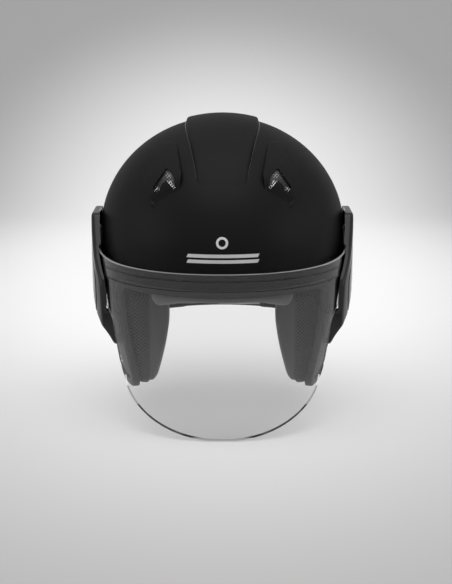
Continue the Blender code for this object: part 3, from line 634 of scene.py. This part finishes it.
def make_shell():
    shell = dome("shell_skin", 0.0, -SHELL_WALL, -135 * MM, 96, 192, "shell")
    cut(shell, [below("rim", RIM_CORNERS)])
    finish_piece(crisp(shell), "shell", ["outer_shell"])
    liner = dome("foam_liner", EPS_OFFSET, EPS_INNER, -100 * MM, 48, 112, "eps")
    cut(liner, [below("liner_rim", [
        (-56 * MM, -9 * MM, 4 * MM), (-51 * MM, -24 * MM, 4 * MM),
        (42 * MM, -24 * MM, 14 * MM), (60 * MM, -48 * MM, 10 * MM)])])
    finish_piece(crisp(liner), "shell", ["eps_liner"])


# ---- roof panel, grille, vents and the print on the brow
def panel_half_width(t):
    """The panel widens from the front to the crown."""
    return (22 + 14 * smooth_step((math.degrees(t) - 25) / 60)) * MM


ROOF_SPAN = (math.radians(27), math.radians(136))
ROOF_SUNK = -0.5 * MM
ROOF_RISE = 4.3 * MM
ROOF_EDGE = 2.0 * MM
ROOF_BACK = -1.8 * MM


def make_roof_panel():
    """Raised panel that sinks into the shell at the front, and a dark seam on each side."""
    low, high = ROOF_SPAN
    stations = [-1, -0.99, -0.965, -0.93] + spaced(-0.85, 0.85, 21) + [0.93, 0.965, 0.99, 1]
    outer, inner = [], []
    for t in spaced(low, high, 110):
        fade = smooth_step((t - low) / 0.55) * smooth_step((high + 0.35 - t) / 0.35)
        height = ROOF_SUNK + ROOF_RISE * fade
        half = panel_half_width(t)
        row = []
        for q in stations:
            edge = max(0.0, (abs(q) - 0.93) / 0.07)
            drop = (1 - math.sqrt(max(0.0, 1 - edge ** 2))) * ROOF_EDGE * max(fade, 0.25)
            row.append(dome_point(half * q, t, height - drop))
        outer.append(row)
        inner.append([dome_point(half * q, t, ROOF_BACK) for q in stations])
    panel = two_sheets("roof_panel_skin", outer, inner, "shell")
    finish_piece(crisp(panel, 50), "shell", ["roof_panel"])
    for side, sign in SIDES:
        rows = []
        for t in spaced(low, high, 110):
            fade = smooth_step((t - low - 0.05) / 0.3)
            half = panel_half_width(t)
            wide = (0.3 + 1.1 * fade) * MM
            height = (-0.4 + 0.9 * fade) * MM
            rows.append([dome_point(sign * (half + wide * a), t, height + b * MM)
                         for a, b in ((0.05, -0.6), (0.3, 0.0), (0.75, 0.0), (1.0, -0.6))])
        seam = loft("roof_seam_" + side, rows, "seam")
        finish_piece(crisp(seam, 70), "shell", ())


GRILLE_SPAN = (math.radians(137), math.radians(152))
GRILLE_HALF = 34 * MM
GRILLE_SLOTS = (-21, -7, 7, 21)


def make_grille():
    """Rear exhaust: a bowed frame with four slots."""
    outer, inner = [], []
    for t in spaced(*GRILLE_SPAN, 24):
        rise = 1.6 + 3.2 * smooth_step((t - GRILLE_SPAN[0]) / 0.12)
        outer.append([dome_point(GRILLE_HALF * q, t, (rise - 1.0 * abs(q) ** 6) * MM)
                      for q in spaced(-1, 1, 49)])
        inner.append([dome_point(GRILLE_HALF * q, t, 0.3 * MM) for q in spaced(-1, 1, 49)])
    grille = two_sheets("rear_grille", outer, inner, "gloss")
    slots = []
    for i, x in enumerate(GRILLE_SLOTS):
        z = dome_point(x * MM, math.radians(144.5), 3 * MM).z
        corners = [(x - 5, -3.5), (x + 5, -3.5), (x + 5, 3.5), (x - 5, 3.5)]
        slots.append(prism("slot%d" % i, rounded(
            [(a * MM, z + b * MM, 2 * MM) for a, b in corners]), 0.08, 0.20, "Y"))
    cut(grille, slots)
    bevel(crisp(grille), 0.4 * MM)
    finish_piece(grille, "shell", ["rear_exhaust_grille"])


VENT_OUTLINE = ((54, 115, 3), (65, 98, 10), (75.5, 79, 3), (65, 59, 3), (40, 74, 3),
                (38.5, 92, 12), (44, 115, 3))
VENT_MOUTH = ((65, 78.5, 1), (52.5, 95.5, 2), (44.5, 88, 2), (43.5, 77, 1), (53.5, 85, 2),
              (62, 70.5, 1))
SCREEN_X = 54 * MM
SCREEN_Z = 84 * MM
SCREEN_PITCH = 2.9 * MM
SCREEN_RISE = 3.3 * MM
SCREEN_WIRE = 0.95 * MM


def vent_outline(outline, sign):
    return rounded([(sign * a * MM, b * MM, r * MM) for a, b, r in outline], 5)


def vent_height(x, z):
    """Low at the upper tip, highest along the mouth, sunk into the shell at the foot."""
    x = abs(x)
    tip = smooth_step((118 * MM - z) / (42 * MM))
    above = (z - 59 * MM) * 0.857 - (65 * MM - x) * 0.514
    foot = smooth_step(above / (13 * MM))
    edge = (75.5 * MM - x) * 0.885 - (79 * MM - z) * 0.465
    ridge = 0.62 * smooth_step(1 - edge / (5 * MM)) * smooth_step((z - 57 * MM) / (6 * MM))
    return (-0.8 + (2.0 + 3.7 * tip) * max(foot, ridge)) * MM


def inside(outline, x, z):
    """Whether a front-view point lies within a closed outline."""
    hit = False
    for a, b in zip(outline, outline[1:] + outline[:1]):
        if (a.y > z) != (b.y > z) and x < (b.x - a.x) * (z - a.y) / (b.y - a.y) + a.x:
            hit = not hit
    return hit


def make_screen(side, sign, mouth):
    """Lattice of wires behind the mouth, a little in front of the shell."""
    verts, faces, index = [], [], {}
    for i in range(-60, 60):
        for j in range(-60, 60):
            u, v = (i + j) * SCREEN_PITCH / 2, (i - j) * SCREEN_PITCH / 2
            if not inside(mouth, sign * (SCREEN_X + u), SCREEN_Z + v):
                continue
            face = []
            for a, b in ((0, 0), (1, 0), (1, 1), (0, 1)):
                key = (i + a, j + b)
                if key not in index:
                    x = sign * (SCREEN_X + (key[0] + key[1]) * SCREEN_PITCH / 2)
                    z = SCREEN_Z + (key[0] - key[1]) * SCREEN_PITCH / 2
                    k = 1 - (x / SHELL_HALF_WIDTH) ** 2
                    k -= ((z - EQUATOR_Z) / SHELL_DOME) ** 2
                    y = SHELL_MID_Y - SHELL_FRONT * math.sqrt(k) - SCREEN_RISE
                    index[key] = len(verts)
                    verts.append((x, y, z))
                face.append(index[key])
            faces.append(face)
    screen = new_object("vent_screen_" + side, verts, faces, "wire")
    wire = screen.modifiers.new("wire", "WIREFRAME")
    wire.thickness = SCREEN_WIRE
    finish_piece(screen, "shell", ())


def make_vents():
    """Two scoops with bevelled glossy edges, each over a wire screen."""
    for side, sign in SIDES:
        outer, inner = [], []
        for t in spaced(math.radians(14), math.radians(86), 60):
            cols = spaced(sign * 34 * MM, sign * 80 * MM, 46)
            row = []
            for x in cols:
                z = dome_point(x, t).z
                row.append(dome_point(x, t, vent_height(x, z)))
            outer.append(row)
            inner.append([dome_point(x, t, -2.6 * MM) for x in cols])
        scoop = two_sheets("scoop_" + side, outer, inner, "shell")
        cut(scoop, [prism("outline", vent_outline(VENT_OUTLINE, sign), -0.2, 0.0, "Y")],
            "INTERSECT")
        mouth = vent_outline(VENT_MOUTH, sign)
        cut(scoop, [prism("mouth", mouth, -0.2, 0.0, "Y")])
        crisp(scoop)
        scoop.data.materials.append(LOOK["scoop"])
        bevel(scoop, 0.8 * MM, 3)
        scoop.modifiers["edge"].material = 1
        finish_piece(scoop, "shell", ["vent_scoop_" + side])
        make_screen(side, sign, mouth)


BADGE_HALF = 33 * MM
BADGE_RING_Z = 32 * MM


def badge_point(x, z, off):
    """Point of the brow at a front-view place."""
    return shell_point(math.asin(x / section(z, off)[0]), z, off)


def make_badge():
    """Plain silver print on the brow: two bars with slanted ends and a ring above them."""
    for name, low, high in (("badge_bar_lower", 13.0, 16.2), ("badge_bar_upper", 18.2, 21.4)):
        outer, inner = [], []
        for z in spaced(low * MM, high * MM, 5):
            lean = (z - low * MM) * 0.5
            cols = spaced(-BADGE_HALF + lean, BADGE_HALF + lean, 49)
            for rows, off in ((outer, 0.30 * MM), (inner, 0.05 * MM)):
                rows.append([badge_point(x, z, off) for x in cols])
        finish_piece(crisp(two_sheets(name, outer, inner, "decal"), 60), "shell")
    rings = []
    for a in spaced(0, 2 * math.pi, 49)[:-1]:
        ring = []
        for radius, off in ((5.6, 0.05), (5.6, 0.30), (3.4, 0.30), (3.4, 0.05)):
            x = radius * MM * math.cos(a)
            z = BADGE_RING_Z + radius * MM * math.sin(a)
            ring.append(badge_point(x, z, off * MM))
        rings.append(ring)
    finish_piece(crisp(loft("badge_ring", rings, "decal", closed=True), 60), "shell")


# ---- edge trim
def rim_half_loop():
    """Middle of the shell's edge on the wearer's left, from the brow round to the nape."""
    mid = -SHELL_WALL / 2
    line = [(-0.25, BROW_Z, 0.0)] + RIM_CORNERS + [(0.25, NAPE_Z, 0.0)]
    side = rounded(line, 10)[1:-1]
    pts = []
    x_end = half_width(side[0].x, side[0].y, mid)
    width, front, _ = section(BROW_Z, mid)
    for x in spaced(0, x_end, 40)[:-1]:
        pts.append(Vector((x, SHELL_MID_Y - front * math.sqrt(1 - (x / width) ** 2), BROW_Z)))
    for a, b in zip(side, side[1:]):
        span = max(1, round((b - a).length / (4 * MM)))
        for k in range(span):
            p = a.lerp(b, k / span)
            pts.append(Vector((half_width(p.x, p.y, mid), p.x, p.y)))
    last = side[-1]
    width, _, rear = section(NAPE_Z, mid)
    for x in spaced(half_width(last.x, last.y, mid), 0, 36):
        pts.append(Vector((x, SHELL_MID_Y + rear * math.sqrt(1 - (x / width) ** 2), NAPE_Z)))
    return pts


def surface_level(p):
    """1 on the shell's outer surface, more outside it."""
    width, front, rear = section(p.z)
    length = front if p.y < SHELL_MID_Y else rear
    return (p.x / width) ** 2 + ((p.y - SHELL_MID_Y) / length) ** 2


def surface_normal(p):
    step = 0.5 * MM
    return Vector([
        surface_level(p + Vector(axis) * step) - surface_level(p - Vector(axis) * step)
        for axis in ((1, 0, 0), (0, 1, 0), (0, 0, 1))]).normalized()


TRIM_SECTION = ((3.0, -4.3), (3.6, -4.1), (3.9, -3.4), (4.1, 1.0), (3.9, 2.3), (3.3, 3.2),
                (2.4, 3.6), (-2.4, 3.6), (-3.3, 3.2), (-3.9, 2.3), (-4.1, 1.0), (-3.9, -3.4),
                (-3.6, -4.1), (-3.0, -4.3), (-2.2, -4.0), (-2.0, 0.6), (2.0, 0.6), (2.2, -4.0))


def make_trim():
    """U-section rubber that grips the edge all the way round."""
    half = rim_half_loop()
    loop = half + [Vector((-p.x, p.y, p.z)) for p in reversed(half[1:-1])]
    count = len(loop)
    rings = []
    for i, p in enumerate(loop):
        tangent = (loop[(i + 1) % count] - loop[i - 1]).normalized()
        normal = surface_normal(p)
        off_edge = tangent.cross(normal).normalized()
        if off_edge.z < -0.85:
            off_edge /= -off_edge.z
        across = Vector((normal.x, normal.y, 0)).normalized()
        rings.append([p + across * (n * MM) + off_edge * (d * MM) for n, d in TRIM_SECTION])
    trim = loft("rubber_trim", rings, "trim", closed=True)
    finish_piece(crisp(trim, 60), "shell", ["edge_trim"])


# ---- visor
def visor_base(y, reduce):
    """Half-width of the visor's plan curve at y."""
    if y >= 0:
        return VISOR_HALF_WIDTH - reduce
    q = min(1.0, -y / (VISOR_REACH - reduce))
    return (VISOR_HALF_WIDTH - reduce) * (1 - q ** VISOR_POWER) ** (1 / VISOR_POWER)


def visor_x(y, z, reduce=0.0):
    """Half-width of the visor at a side-view point, flat round the pivot."""
    t = smooth_step((math.hypot(y, z) - VISOR_EAR_R) / (VISOR_EAR_BLEND - VISOR_EAR_R))
    return visor_base(y, reduce) * t + (VISOR_HALF_WIDTH - reduce) * (1 - t)


def visor_plan(columns, reduce):
    """Plan curve of the visor as (x, y), ear to ear."""
    stations = []
    for q in spaced(0, 1, columns):
        angle = q * math.pi / 2
        y = -(VISOR_REACH - reduce) * math.cos(angle) ** (2 / VISOR_POWER)
        x = (VISOR_HALF_WIDTH - reduce) * math.sin(angle) ** (2 / VISOR_POWER)
        stations.append((x, y))
    rear = [(VISOR_HALF_WIDTH - reduce, y * MM) for y in (4, 10, 16, 22, 30)]
    half = stations + rear
    return [(-x, y) for x, y in reversed(half[1:])] + half


def band_fade(y):
    """The top band's steps run out towards the ears."""
    return smooth_step((-y - 58 * MM) / (24 * MM))


def visor_sheet(reduce, rows, columns):
    """One face of the visor: its plan curve at each (height, step) of the rows."""
    sheet = []
    for z, step in rows:
        row = []
        for x, y in visor_plan(columns, reduce):
            if abs(x) > 70 * MM:
                x = math.copysign(max(abs(x), visor_x(y, z, reduce)), x)
            push = step * band_fade(y) if reduce == 0 else 0.0
            direction = Vector((x / VISOR_HALF_WIDTH ** 2, y / VISOR_REACH ** 2)).normalized()
            row.append(Vector((x + direction.x * push, y + direction.y * push, z)))
        sheet.append(row)
    return sheet


def chin_line():
    """Lower edge of the visor in the side view, from the middle to the corner."""
    pts = []
    for q in spaced(0, 1, 40):
        x = VISOR_CHIN_HALF * math.sin(q * math.pi / 2)
        z = VISOR_CHIN_Z - VISOR_CHIN_DROP * math.cos(q * math.pi / 2)
        w = (x / VISOR_HALF_WIDTH) ** VISOR_POWER
        pts.append((-VISOR_REACH * (1 - w) ** (1 / VISOR_POWER), z))
    return pts


def make_visor():
    """Clear shield with a stepped top band; its cut edges have a lighter, ground look."""
    rib = BAND_RIB
    rows = [(z * MM, 0.0) for z in range(-158, -14, 4)]
    rows += [(-11.4 * MM, 0.0), (-11.1 * MM, rib * 0.5), (-10.8 * MM, rib), (-6.5 * MM, rib)]
    rows += [(-2.0 * MM, rib), (-1.7 * MM, rib * 1.5), (-1.4 * MM, 2 * rib), (2 * MM, 2 * rib)]
    rows += [(6 * MM, 2 * rib), (9 * MM, 0.0)]
    rows += [(z * MM, 0.0) for z in (12, 16, 20, 25, 30)]
    visor = two_sheets("visor_shield", visor_sheet(0.0, rows, 90),
                       visor_sheet(VISOR_WALL, rows, 90), "visor")
    chin = chin_line()
    ear = [(VISOR_EAR_R * math.cos(math.radians(a)), VISOR_EAR_R * math.sin(math.radians(a)))
           for a in spaced(150, -150, 41)]
    outline = [(-0.2, VISOR_TOP_Z), (-0.1, VISOR_TOP_Z + 0.8 * MM), (-50 * MM, 7 * MM)]
    outline += [(-34 * MM, 11 * MM)] + ear[1:-1]
    lower = rounded([(-22 * MM, -12 * MM, 0), (-60 * MM, -31 * MM, 20 * MM),
                     (-88 * MM, -48 * MM, 26 * MM), (-101 * MM, -88 * MM, 0)])
    outline += [(p.x, p.y) for p in lower[1:]]
    outline += [chin[-1]] + chin[-2::-1] + [(-0.2, chin[0][1])]
    cut(visor, [prism("outline", outline, -0.2, 0.2, "X")], "INTERSECT")
    cut(visor, [prism("holes", circle(3.4 * MM), -0.2, 0.2, "X")])
    crisp(visor, 40)
    visor.data.materials.clear()
    visor.data.materials.append(LOOK["visor"])
    visor.data.materials.append(LOOK["visor_edge"])
    for face in visor.data.polygons:
        x, y, _ = face.center
        power = VISOR_POWER - 1
        out = Vector((math.copysign(abs(x / VISOR_HALF_WIDTH) ** power, x) / VISOR_HALF_WIDTH,
                      -(max(-y, 0.0) / VISOR_REACH) ** power / VISOR_REACH, 0.0))
        face.material_index = 1 if abs(face.normal.dot(out.normalized())) < 0.35 else 0
    finish_piece(visor, "visor_unit", ["visor"])


def make_visor_step_shade_lines():
    """Two fine dark strips along the steps of the visor's top band: painted shade standing in
    for the dark lines that the steps show.
    """
    for name, z, step in (("band_shade_line_lower", -11.1 * MM, 1), ("band_shade_line_upper", -1.7 * MM, 2)):
        outer, inner = [], []
        for dz in spaced(-0.3 * MM, 0.3 * MM, 3):
            for rows, off in ((outer, 0.16 * MM), (inner, 0.02 * MM)):
                row = []
                for x, y in visor_plan(90, 0.0):
                    if y > -66 * MM:
                        continue
                    push = step * BAND_RIB * band_fade(y) + off
                    direction = Vector((x / VISOR_HALF_WIDTH ** 2, y / VISOR_REACH ** 2))
                    direction.normalize()
                    row.append(Vector((x + direction.x * push, y + direction.y * push, z + dz)))
                rows.append(row)
        # opaque dark strips on the clear band: painted shade along its steps
        line = two_sheets(name, outer, inner, "seam")
        finish_piece(crisp(line, 60), "visor_unit", ())


# ---- side covers
COVER_OUTLINE = ((-30, 43, 8), (30, 43, 16), (40, 8, 30), (28, -34, 30), (-14, -64, 26),
                 (-56, -83, 7), (-70, -80, 6), (-80, -52, 20), (-75, -16, 14), (-54, 6, 25))
COVER_SECTION = ((43, 130), (-10, 130), (-28, 128.5), (-42, 126.5), (-52, 123), (-60, 118),
                 (-68, 112), (-78, 107), (-90, 104))


def cover_face(z):
    """Outer face of the cover by height, straight from corner to corner."""
    z = max(z, -89.9 * MM)
    for (z1, x1), (z2, x2) in zip(COVER_SECTION, COVER_SECTION[1:]):
        if z2 * MM <= z <= z1 * MM:
            return (x1 + (x2 - x1) * (z1 * MM - z) / ((z1 - z2) * MM)) * MM
    return COVER_X


def soft_face(z):
    """The cover's outer face by height, with its corners eased."""
    return sum(cover_face(z + d * MM) for d in (-8, -4, 0, 4, 8)) / 5


def swept_shell(y, z):
    """Widest the shell gets along the path of a side-view point as the visor lifts."""
    reach, start = math.hypot(y, z), math.atan2(z, -y)
    widest = 0.0
    for step in range(11):
        angle = start + math.radians(VISOR_LIFT) * step / 10
        py, pz = -reach * math.cos(angle), reach * math.sin(angle)
        x = half_width(py, pz)
        if x is not None:
            widest = max(widest, with_boss(x, py, pz, 0.0))
    return widest


def beyond_visor(y, z):
    """How far a side-view point lies outside the visor's outline, near the cover."""
    ear = math.hypot(y, z) - VISOR_EAR_R
    if y > -20 * MM:
        return ear
    lower = -13 * MM + (y + 22 * MM) * 0.53
    return min(ear, max(z - 11 * MM, lower - z))


def cover_floor(y, z):
    """Lowest X of the cover: over the visor, or over the shell and its trim."""
    trim = smooth_step((math.hypot(y, z) - 56 * MM) / (8 * MM)) * 2.8 * MM
    shell = swept_shell(y, z) + 1.4 * MM + trim
    visor = visor_x(y, z) + COVER_GAP
    t = smooth_step((beyond_visor(y, z) - 2 * MM) / (4 * MM))
    return max(shell, visor * (1 - t) + shell * t)


def cover_skin(y, z):
    """Outer X of the cover: its face, or a least thickness over its floor."""
    high = min(soft_face(z), COVER_X - 4.0 * max(0.0, -y - 20 * MM) ** 2)
    return max(high, cover_floor(y, z) + COVER_MIN)


def make_covers():
    """Cup-shaped covers: eased edge, a recessed line round the face and a screw sink."""
    corners = rounded([(a * MM, b * MM, r * MM) for a, b, r in COVER_OUTLINE], 8)
    outline = []
    for a, b in zip(corners, corners[1:] + corners[:1]):
        span = max(1, round((b - a).length / (3 * MM)))
        outline += [a.lerp(b, k / span) for k in range(span)]
    middle = Vector((-6 * MM, -16 * MM))
    faces = [0.02, 0.10, 0.18, 0.26, 0.34, 0.42, 0.50, 0.57, 0.64, 0.70, 0.735, 0.75, 0.775,
             0.79, 0.81, 0.84, 0.88, 0.92, 0.94, 0.96, 0.975, 0.985, 0.993, 1.0]
    backs = [1.0, 0.975, 0.945, 0.91, 0.88, 0.84, 0.76, 0.68, 0.58, 0.48, 0.36, 0.25, 0.12,
             0.02]
    for side, sign in SIDES:
        rings = []
        for f in faces:
            edge = max(0.0, (f - 0.94) / 0.06)
            eased = (1 - math.sqrt(max(0.0, 1 - edge ** 2))) * 1.8 * MM
            eased += 0.7 * MM if 0.74 < f < 0.78 else 0.0
            ring = []
            for p in outline:
                y, z = middle + (p - middle) * f
                high = max(cover_skin(y, z) - eased, cover_floor(y, z) + 0.6 * MM)
                ring.append(Vector((sign * high, y, z)))
            rings.append(ring)
        for f in backs:
            ring = []
            for p in outline:
                y, z = middle + (p - middle) * f
                low = cover_floor(y, z)
                if f < 0.92:
                    low = max(low, cover_skin(y, z) - COVER_WALL)
                ring.append(Vector((sign * low, y, z)))
            rings.append(ring)
        cover = loft("cover_skin_" + side, rings, "gloss")
        sink = prism("sink", circle(9.2 * MM), sign * 127.6 * MM, sign * 140 * MM, "X")
        bore = prism("bore", circle(3.4 * MM), sign * 100 * MM, sign * 140 * MM, "X")
        cut(cover, [sink, bore])
        finish_piece(crisp(cover, 38), "visor_unit", ["side_cover_" + side])


# ---- pads
def padded_copy(name, node, look, swell, shrink=0.0, voxel=4.0 * MM, rounds=10,
                stuffing=None):
    """The CAD pad as a stuffed form: remeshed, blown up as cloth, capped and subdivided."""
    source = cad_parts[node]
    obj = bpy.data.objects.new(name, source.data.copy())
    bpy.context.scene.collection.objects.link(obj)
    if stuffing:
        bm = bmesh.new()
        bm.from_mesh(obj.data)
        bm.from_mesh(stuffing.data)
        bm.to_mesh(obj.data)
        bm.free()
        bpy.data.objects.remove(stuffing)
    obj.data.materials.clear()
    obj.data.materials.append(LOOK[look])
    remesh = obj.modifiers.new("remesh", "REMESH")
    remesh.mode = "VOXEL"
    remesh.voxel_size = voxel
    settle(obj)
    bm = bmesh.new()
    bm.from_mesh(obj.data)
    for _ in range(rounds):
        bmesh.ops.smooth_vert(bm, verts=bm.verts, factor=0.5, use_axis_x=True,
                              use_axis_y=True, use_axis_z=True)
    bm.normal_update()
    for v in bm.verts:
        v.co -= v.normal * shrink
    bm.to_mesh(obj.data)
    bm.free()
    before = [v.co.copy() for v in obj.data.vertices]
    cloth = obj.modifiers.new("cloth", "CLOTH")
    cloth.settings.use_pressure = True
    cloth.settings.uniform_pressure_force = 4.0
    cloth.settings.effector_weights.gravity = 0.0
    cloth.settings.quality = 5
    scene = bpy.context.scene
    for number in range(1, 21):
        scene.frame_set(number)
    settle(obj)
    scene.frame_set(1)
    for v, start in zip(obj.data.vertices, before):
        move = v.co - start
        if move.length > swell:
            v.co = start + move.normalized() * swell
    subdivide = obj.modifiers.new("subdivide", "SUBSURF")
    subdivide.levels = 1
    subdivide.render_levels = 1
    settle(obj)
    obj.data.shade_smooth()
    return obj


def press(obj, amount, depth, width):
    """Sewn line: points near amount(p) == 0 are drawn in along their normals."""
    bm = bmesh.new()
    bm.from_mesh(obj.data)
    bm.normal_update()
    moves = []
    for v in bm.verts:
        near = amount(v.co) / width
        moves.append(v.normal * (-depth * math.exp(-near * near)))
    for v, move in zip(bm.verts, moves):
        v.co += move
    bm.to_mesh(obj.data)
    bm.free()


# the thick front of a cheek pad, seen from the front
PAD_FOLD = ((96, -50), (88, -122), (82, -127), (69, -124), (63, -114), (61, -94), (66, -50))


def make_pads():
    """Stuffed pads with their sewn lines."""
    for side, sign in SIDES:
        front = [(sign * x * MM, z * MM) for x, z in PAD_FOLD]
        fold = prism("pad_fold", front, -62 * MM, -47 * MM, "Y")
        pad = padded_copy("cheek_cushion_" + side, "cheek_pad_" + side, "mesh", 3.0 * MM,
                          1.0 * MM, stuffing=fold)
        press(pad, lambda p: abs(p.x) - PAD_SEAM_X, 1.6 * MM, 1.6 * MM)
        finish_piece(pad, "shell", ["cheek_pad_" + side])
    brow = padded_copy("brow_cushion", "brow_pad", "fabric", 2.0 * MM, 0.6 * MM)
    press(brow, lambda p: p.z + 22 * MM, 1.2 * MM, 1.5 * MM)
    nape = padded_copy("nape_cushion", "neck_roll", "fabric", 2.5 * MM, 0.6 * MM)
    press(nape, lambda p: p.z + 61 * MM, 1.4 * MM, 1.8 * MM)
    crown = padded_copy("crown_cushion", "crown_pad", "fabric", 2.0 * MM, 0.2 * MM, 4.5 * MM)
    press(crown, lambda p: abs(abs(p.x) - 28 * MM), 1.8 * MM, 2.2 * MM)
    chin = padded_copy("chin_cushion", "chin_pad", "fabric", 0.8 * MM, 0.0, 1.6 * MM, 3)
    for obj, node in ((brow, "brow_pad"), (nape, "neck_roll"), (crown, "crown_pad"),
                      (chin, "chin_pad")):
        finish_piece(obj, "shell", [node])


# ---- webbing
def strap_route(sign, x_end):
    """(point, normal) stations from the anchor, behind the cheek pad, to the buckle."""
    stations = [
        ((95.6, 24, -100.5), (1, 0, 0)), ((95.6, 30, -92), (1, 0, 0)),
        ((95.0, 37, -84), (1, 0.15, 0)), ((91.5, 46, -76), (1, 0.5, 0)),
        ((84.0, 55, -67), (0.8, 0.8, 0.1)), ((73, 62, -60), (0.4, 1, 0.1)),
        ((60, 67.0, -56), (0.1, 1, 0)), ((50, 68, -55), (0, 1, 0))]
    pts = [(Vector((sign * x * MM, y * MM, z * MM)), Vector((sign * a, b, c)))
           for (x, y, z), (a, b, c) in stations]
    pts.append((Vector((sign * x_end, 68 * MM, -55 * MM)), Vector((0, 1, 0))))
    return pts


def spline(points, steps):
    """Smooth line through (point, normal) stations."""
    made = []
    count = len(points)
    for i in range(count - 1):
        p = [points[min(max(i + k, 0), count - 1)] for k in (-1, 0, 1, 2)]
        for s in range(steps):
            t = s / steps
            pair = []
            for part in (0, 1):
                a, b, c, d = (q[part] for q in p)
                pair.append(b + ((c - a) * t + (2 * a - 5 * b + 4 * c - d) * t * t
                                 + (3 * b - a - 3 * c + d) * t ** 3) * 0.5)
            made.append((pair[0], pair[1].normalized()))
    made.append(points[-1])
    return made


def make_straps():
    """Webbing halves: the left ends in the housing, the right follows the tongue."""
    for side, sign in SIDES:
        x_end = 41.5 * MM if side == "left" else 22.0 * MM
        line = spline(strap_route(sign, x_end), 10)
        rings = []
        profile = [(-1, -0.4), (-0.97, -1), (-0.5, -1), (0, -1), (0.5, -1), (0.97, -1),
                   (1, -0.4), (1, 0.4), (0.97, 1), (0.5, 1), (0, 1), (-0.5, 1), (-0.97, 1),
                   (-1, 0.4)]
        for i, (p, normal) in enumerate(line):
            tangent = (line[min(i + 1, len(line) - 1)][0] - line[max(i - 1, 0)][0]).normalized()
            normal = (normal - tangent * normal.dot(tangent)).normalized()
            across = tangent.cross(normal)
            rings.append([p + across * (a * STRAP_WIDTH / 2) + normal * (b * STRAP_THICK / 2)
                          for a, b in profile])
        strap = loft("webbing_" + side, rings, "webbing")
        crisp(strap, 60)
        if side == "left":
            finish_piece(strap, "shell", ["strap_left"])
        else:
            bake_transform(strap)
            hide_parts("strap_right")


# ---- carried-over CAD nodes
def dress_nodes():
    """Materials and eased edges for the CAD nodes that stay."""
    looks = {"cheek_block": "eps", "vent_mesh": "plastic", "pivot_base": "plastic",
             "pivot_screw": "gloss", "buckle_lever": "lever"}
    for name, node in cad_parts.items():
        if node.hide_render:
            continue
        look = next((v for k, v in looks.items() if name.startswith(k)), "steel")
        node.data.materials.clear()
        node.data.materials.append(LOOK[look])
        node.data.shade_smooth()
        node.data.set_sharp_from_angle(angle=math.radians(32))
        if name.startswith(("buckle", "pivot_screw", "strap_anchor")):
            weld = node.modifiers.new("weld", "WELD")
            weld.merge_threshold = 0.00005
            bevel(node, 0.25 * MM)


# ---- studio
SWEEP_FRONT = -3.0
SWEEP_BEND = 1.15
SWEEP_RADIUS = 0.6
SWEEP_HALF = 4.0
CAMERA_TARGET = (0.0036, 0.0, -0.043)
CAMERA_DISTANCE = 1.5
CAMERA_ELEVATION = 12.0
CAMERA_LENS = 90.6
WORLD_LIGHT = 0.85
LIGHTS = (("key", (0.0, -0.5, 1.7), 1.6, 14.0),
          ("side_left", (1.7, -0.5, 0.3), 1.0, 3.0),
          ("side_right", (-1.7, -0.5, 0.3), 1.0, 3.0))


def make_studio():
    """Seamless pale sweep, a large top light, two side lights and the camera."""
    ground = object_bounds()[0].z - 0.4 * MM
    rows = []
    for y in spaced(SWEEP_FRONT, SWEEP_BEND, 12):
        rows.append((y, ground))
    for a in spaced(0, math.pi / 2, 24)[1:]:
        rows.append((SWEEP_BEND + SWEEP_RADIUS * math.sin(a),
                     ground + SWEEP_RADIUS * (1 - math.cos(a))))
    rows += [(SWEEP_BEND + SWEEP_RADIUS, ground + z) for z in (1.2, 2.2)]
    verts = []
    for y, z in rows:
        verts += [(-SWEEP_HALF, y, z), (SWEEP_HALF, y, z)]
    faces = [[2 * i, 2 * i + 1, 2 * i + 3, 2 * i + 2] for i in range(len(rows) - 1)]
    sweep = new_object("studio_sweep", verts, faces)
    # the sweep's glow is painted light, not a lamp
    sweep.data.materials.append(painted_glow_sweep_look())

    world = bpy.data.worlds.new("studio")
    bpy.context.scene.world = world
    world.use_nodes = True
    background = world.node_tree.nodes["Background"]
    background.inputs["Color"].default_value = (1.0, 1.0, 1.0, 1.0)
    background.inputs["Strength"].default_value = WORLD_LIGHT

    for name, place, size, power in LIGHTS:
        data = bpy.data.lights.new(name, "AREA")
        data.energy = power
        data.size = size
        lamp = bpy.data.objects.new(name, data)
        lamp.location = place
        lamp.rotation_euler = (-Vector(place)).to_track_quat("-Z", "Y").to_euler()
        bpy.context.scene.collection.objects.link(lamp)

    camera = bpy.data.objects.new("camera", bpy.data.cameras.new("camera"))
    bpy.context.scene.collection.objects.link(camera)
    bpy.context.scene.camera = camera
    elevation = math.radians(CAMERA_ELEVATION)
    back = Vector((0.0, -math.cos(elevation), math.sin(elevation)))
    camera.location = Vector(CAMERA_TARGET) + back * CAMERA_DISTANCE
    camera.rotation_euler = (-back).to_track_quat("-Z", "Y").to_euler()
    camera.data.sensor_width = 36.0
    camera.data.lens = CAMERA_LENS
    bpy.context.scene.view_settings.view_transform = "Standard"


make_shell()
make_roof_panel()
make_grille()
make_vents()
make_badge()
make_trim()
make_visor()
make_visor_step_shade_lines()
make_covers()
make_pads()
make_straps()
dress_nodes()
make_studio()
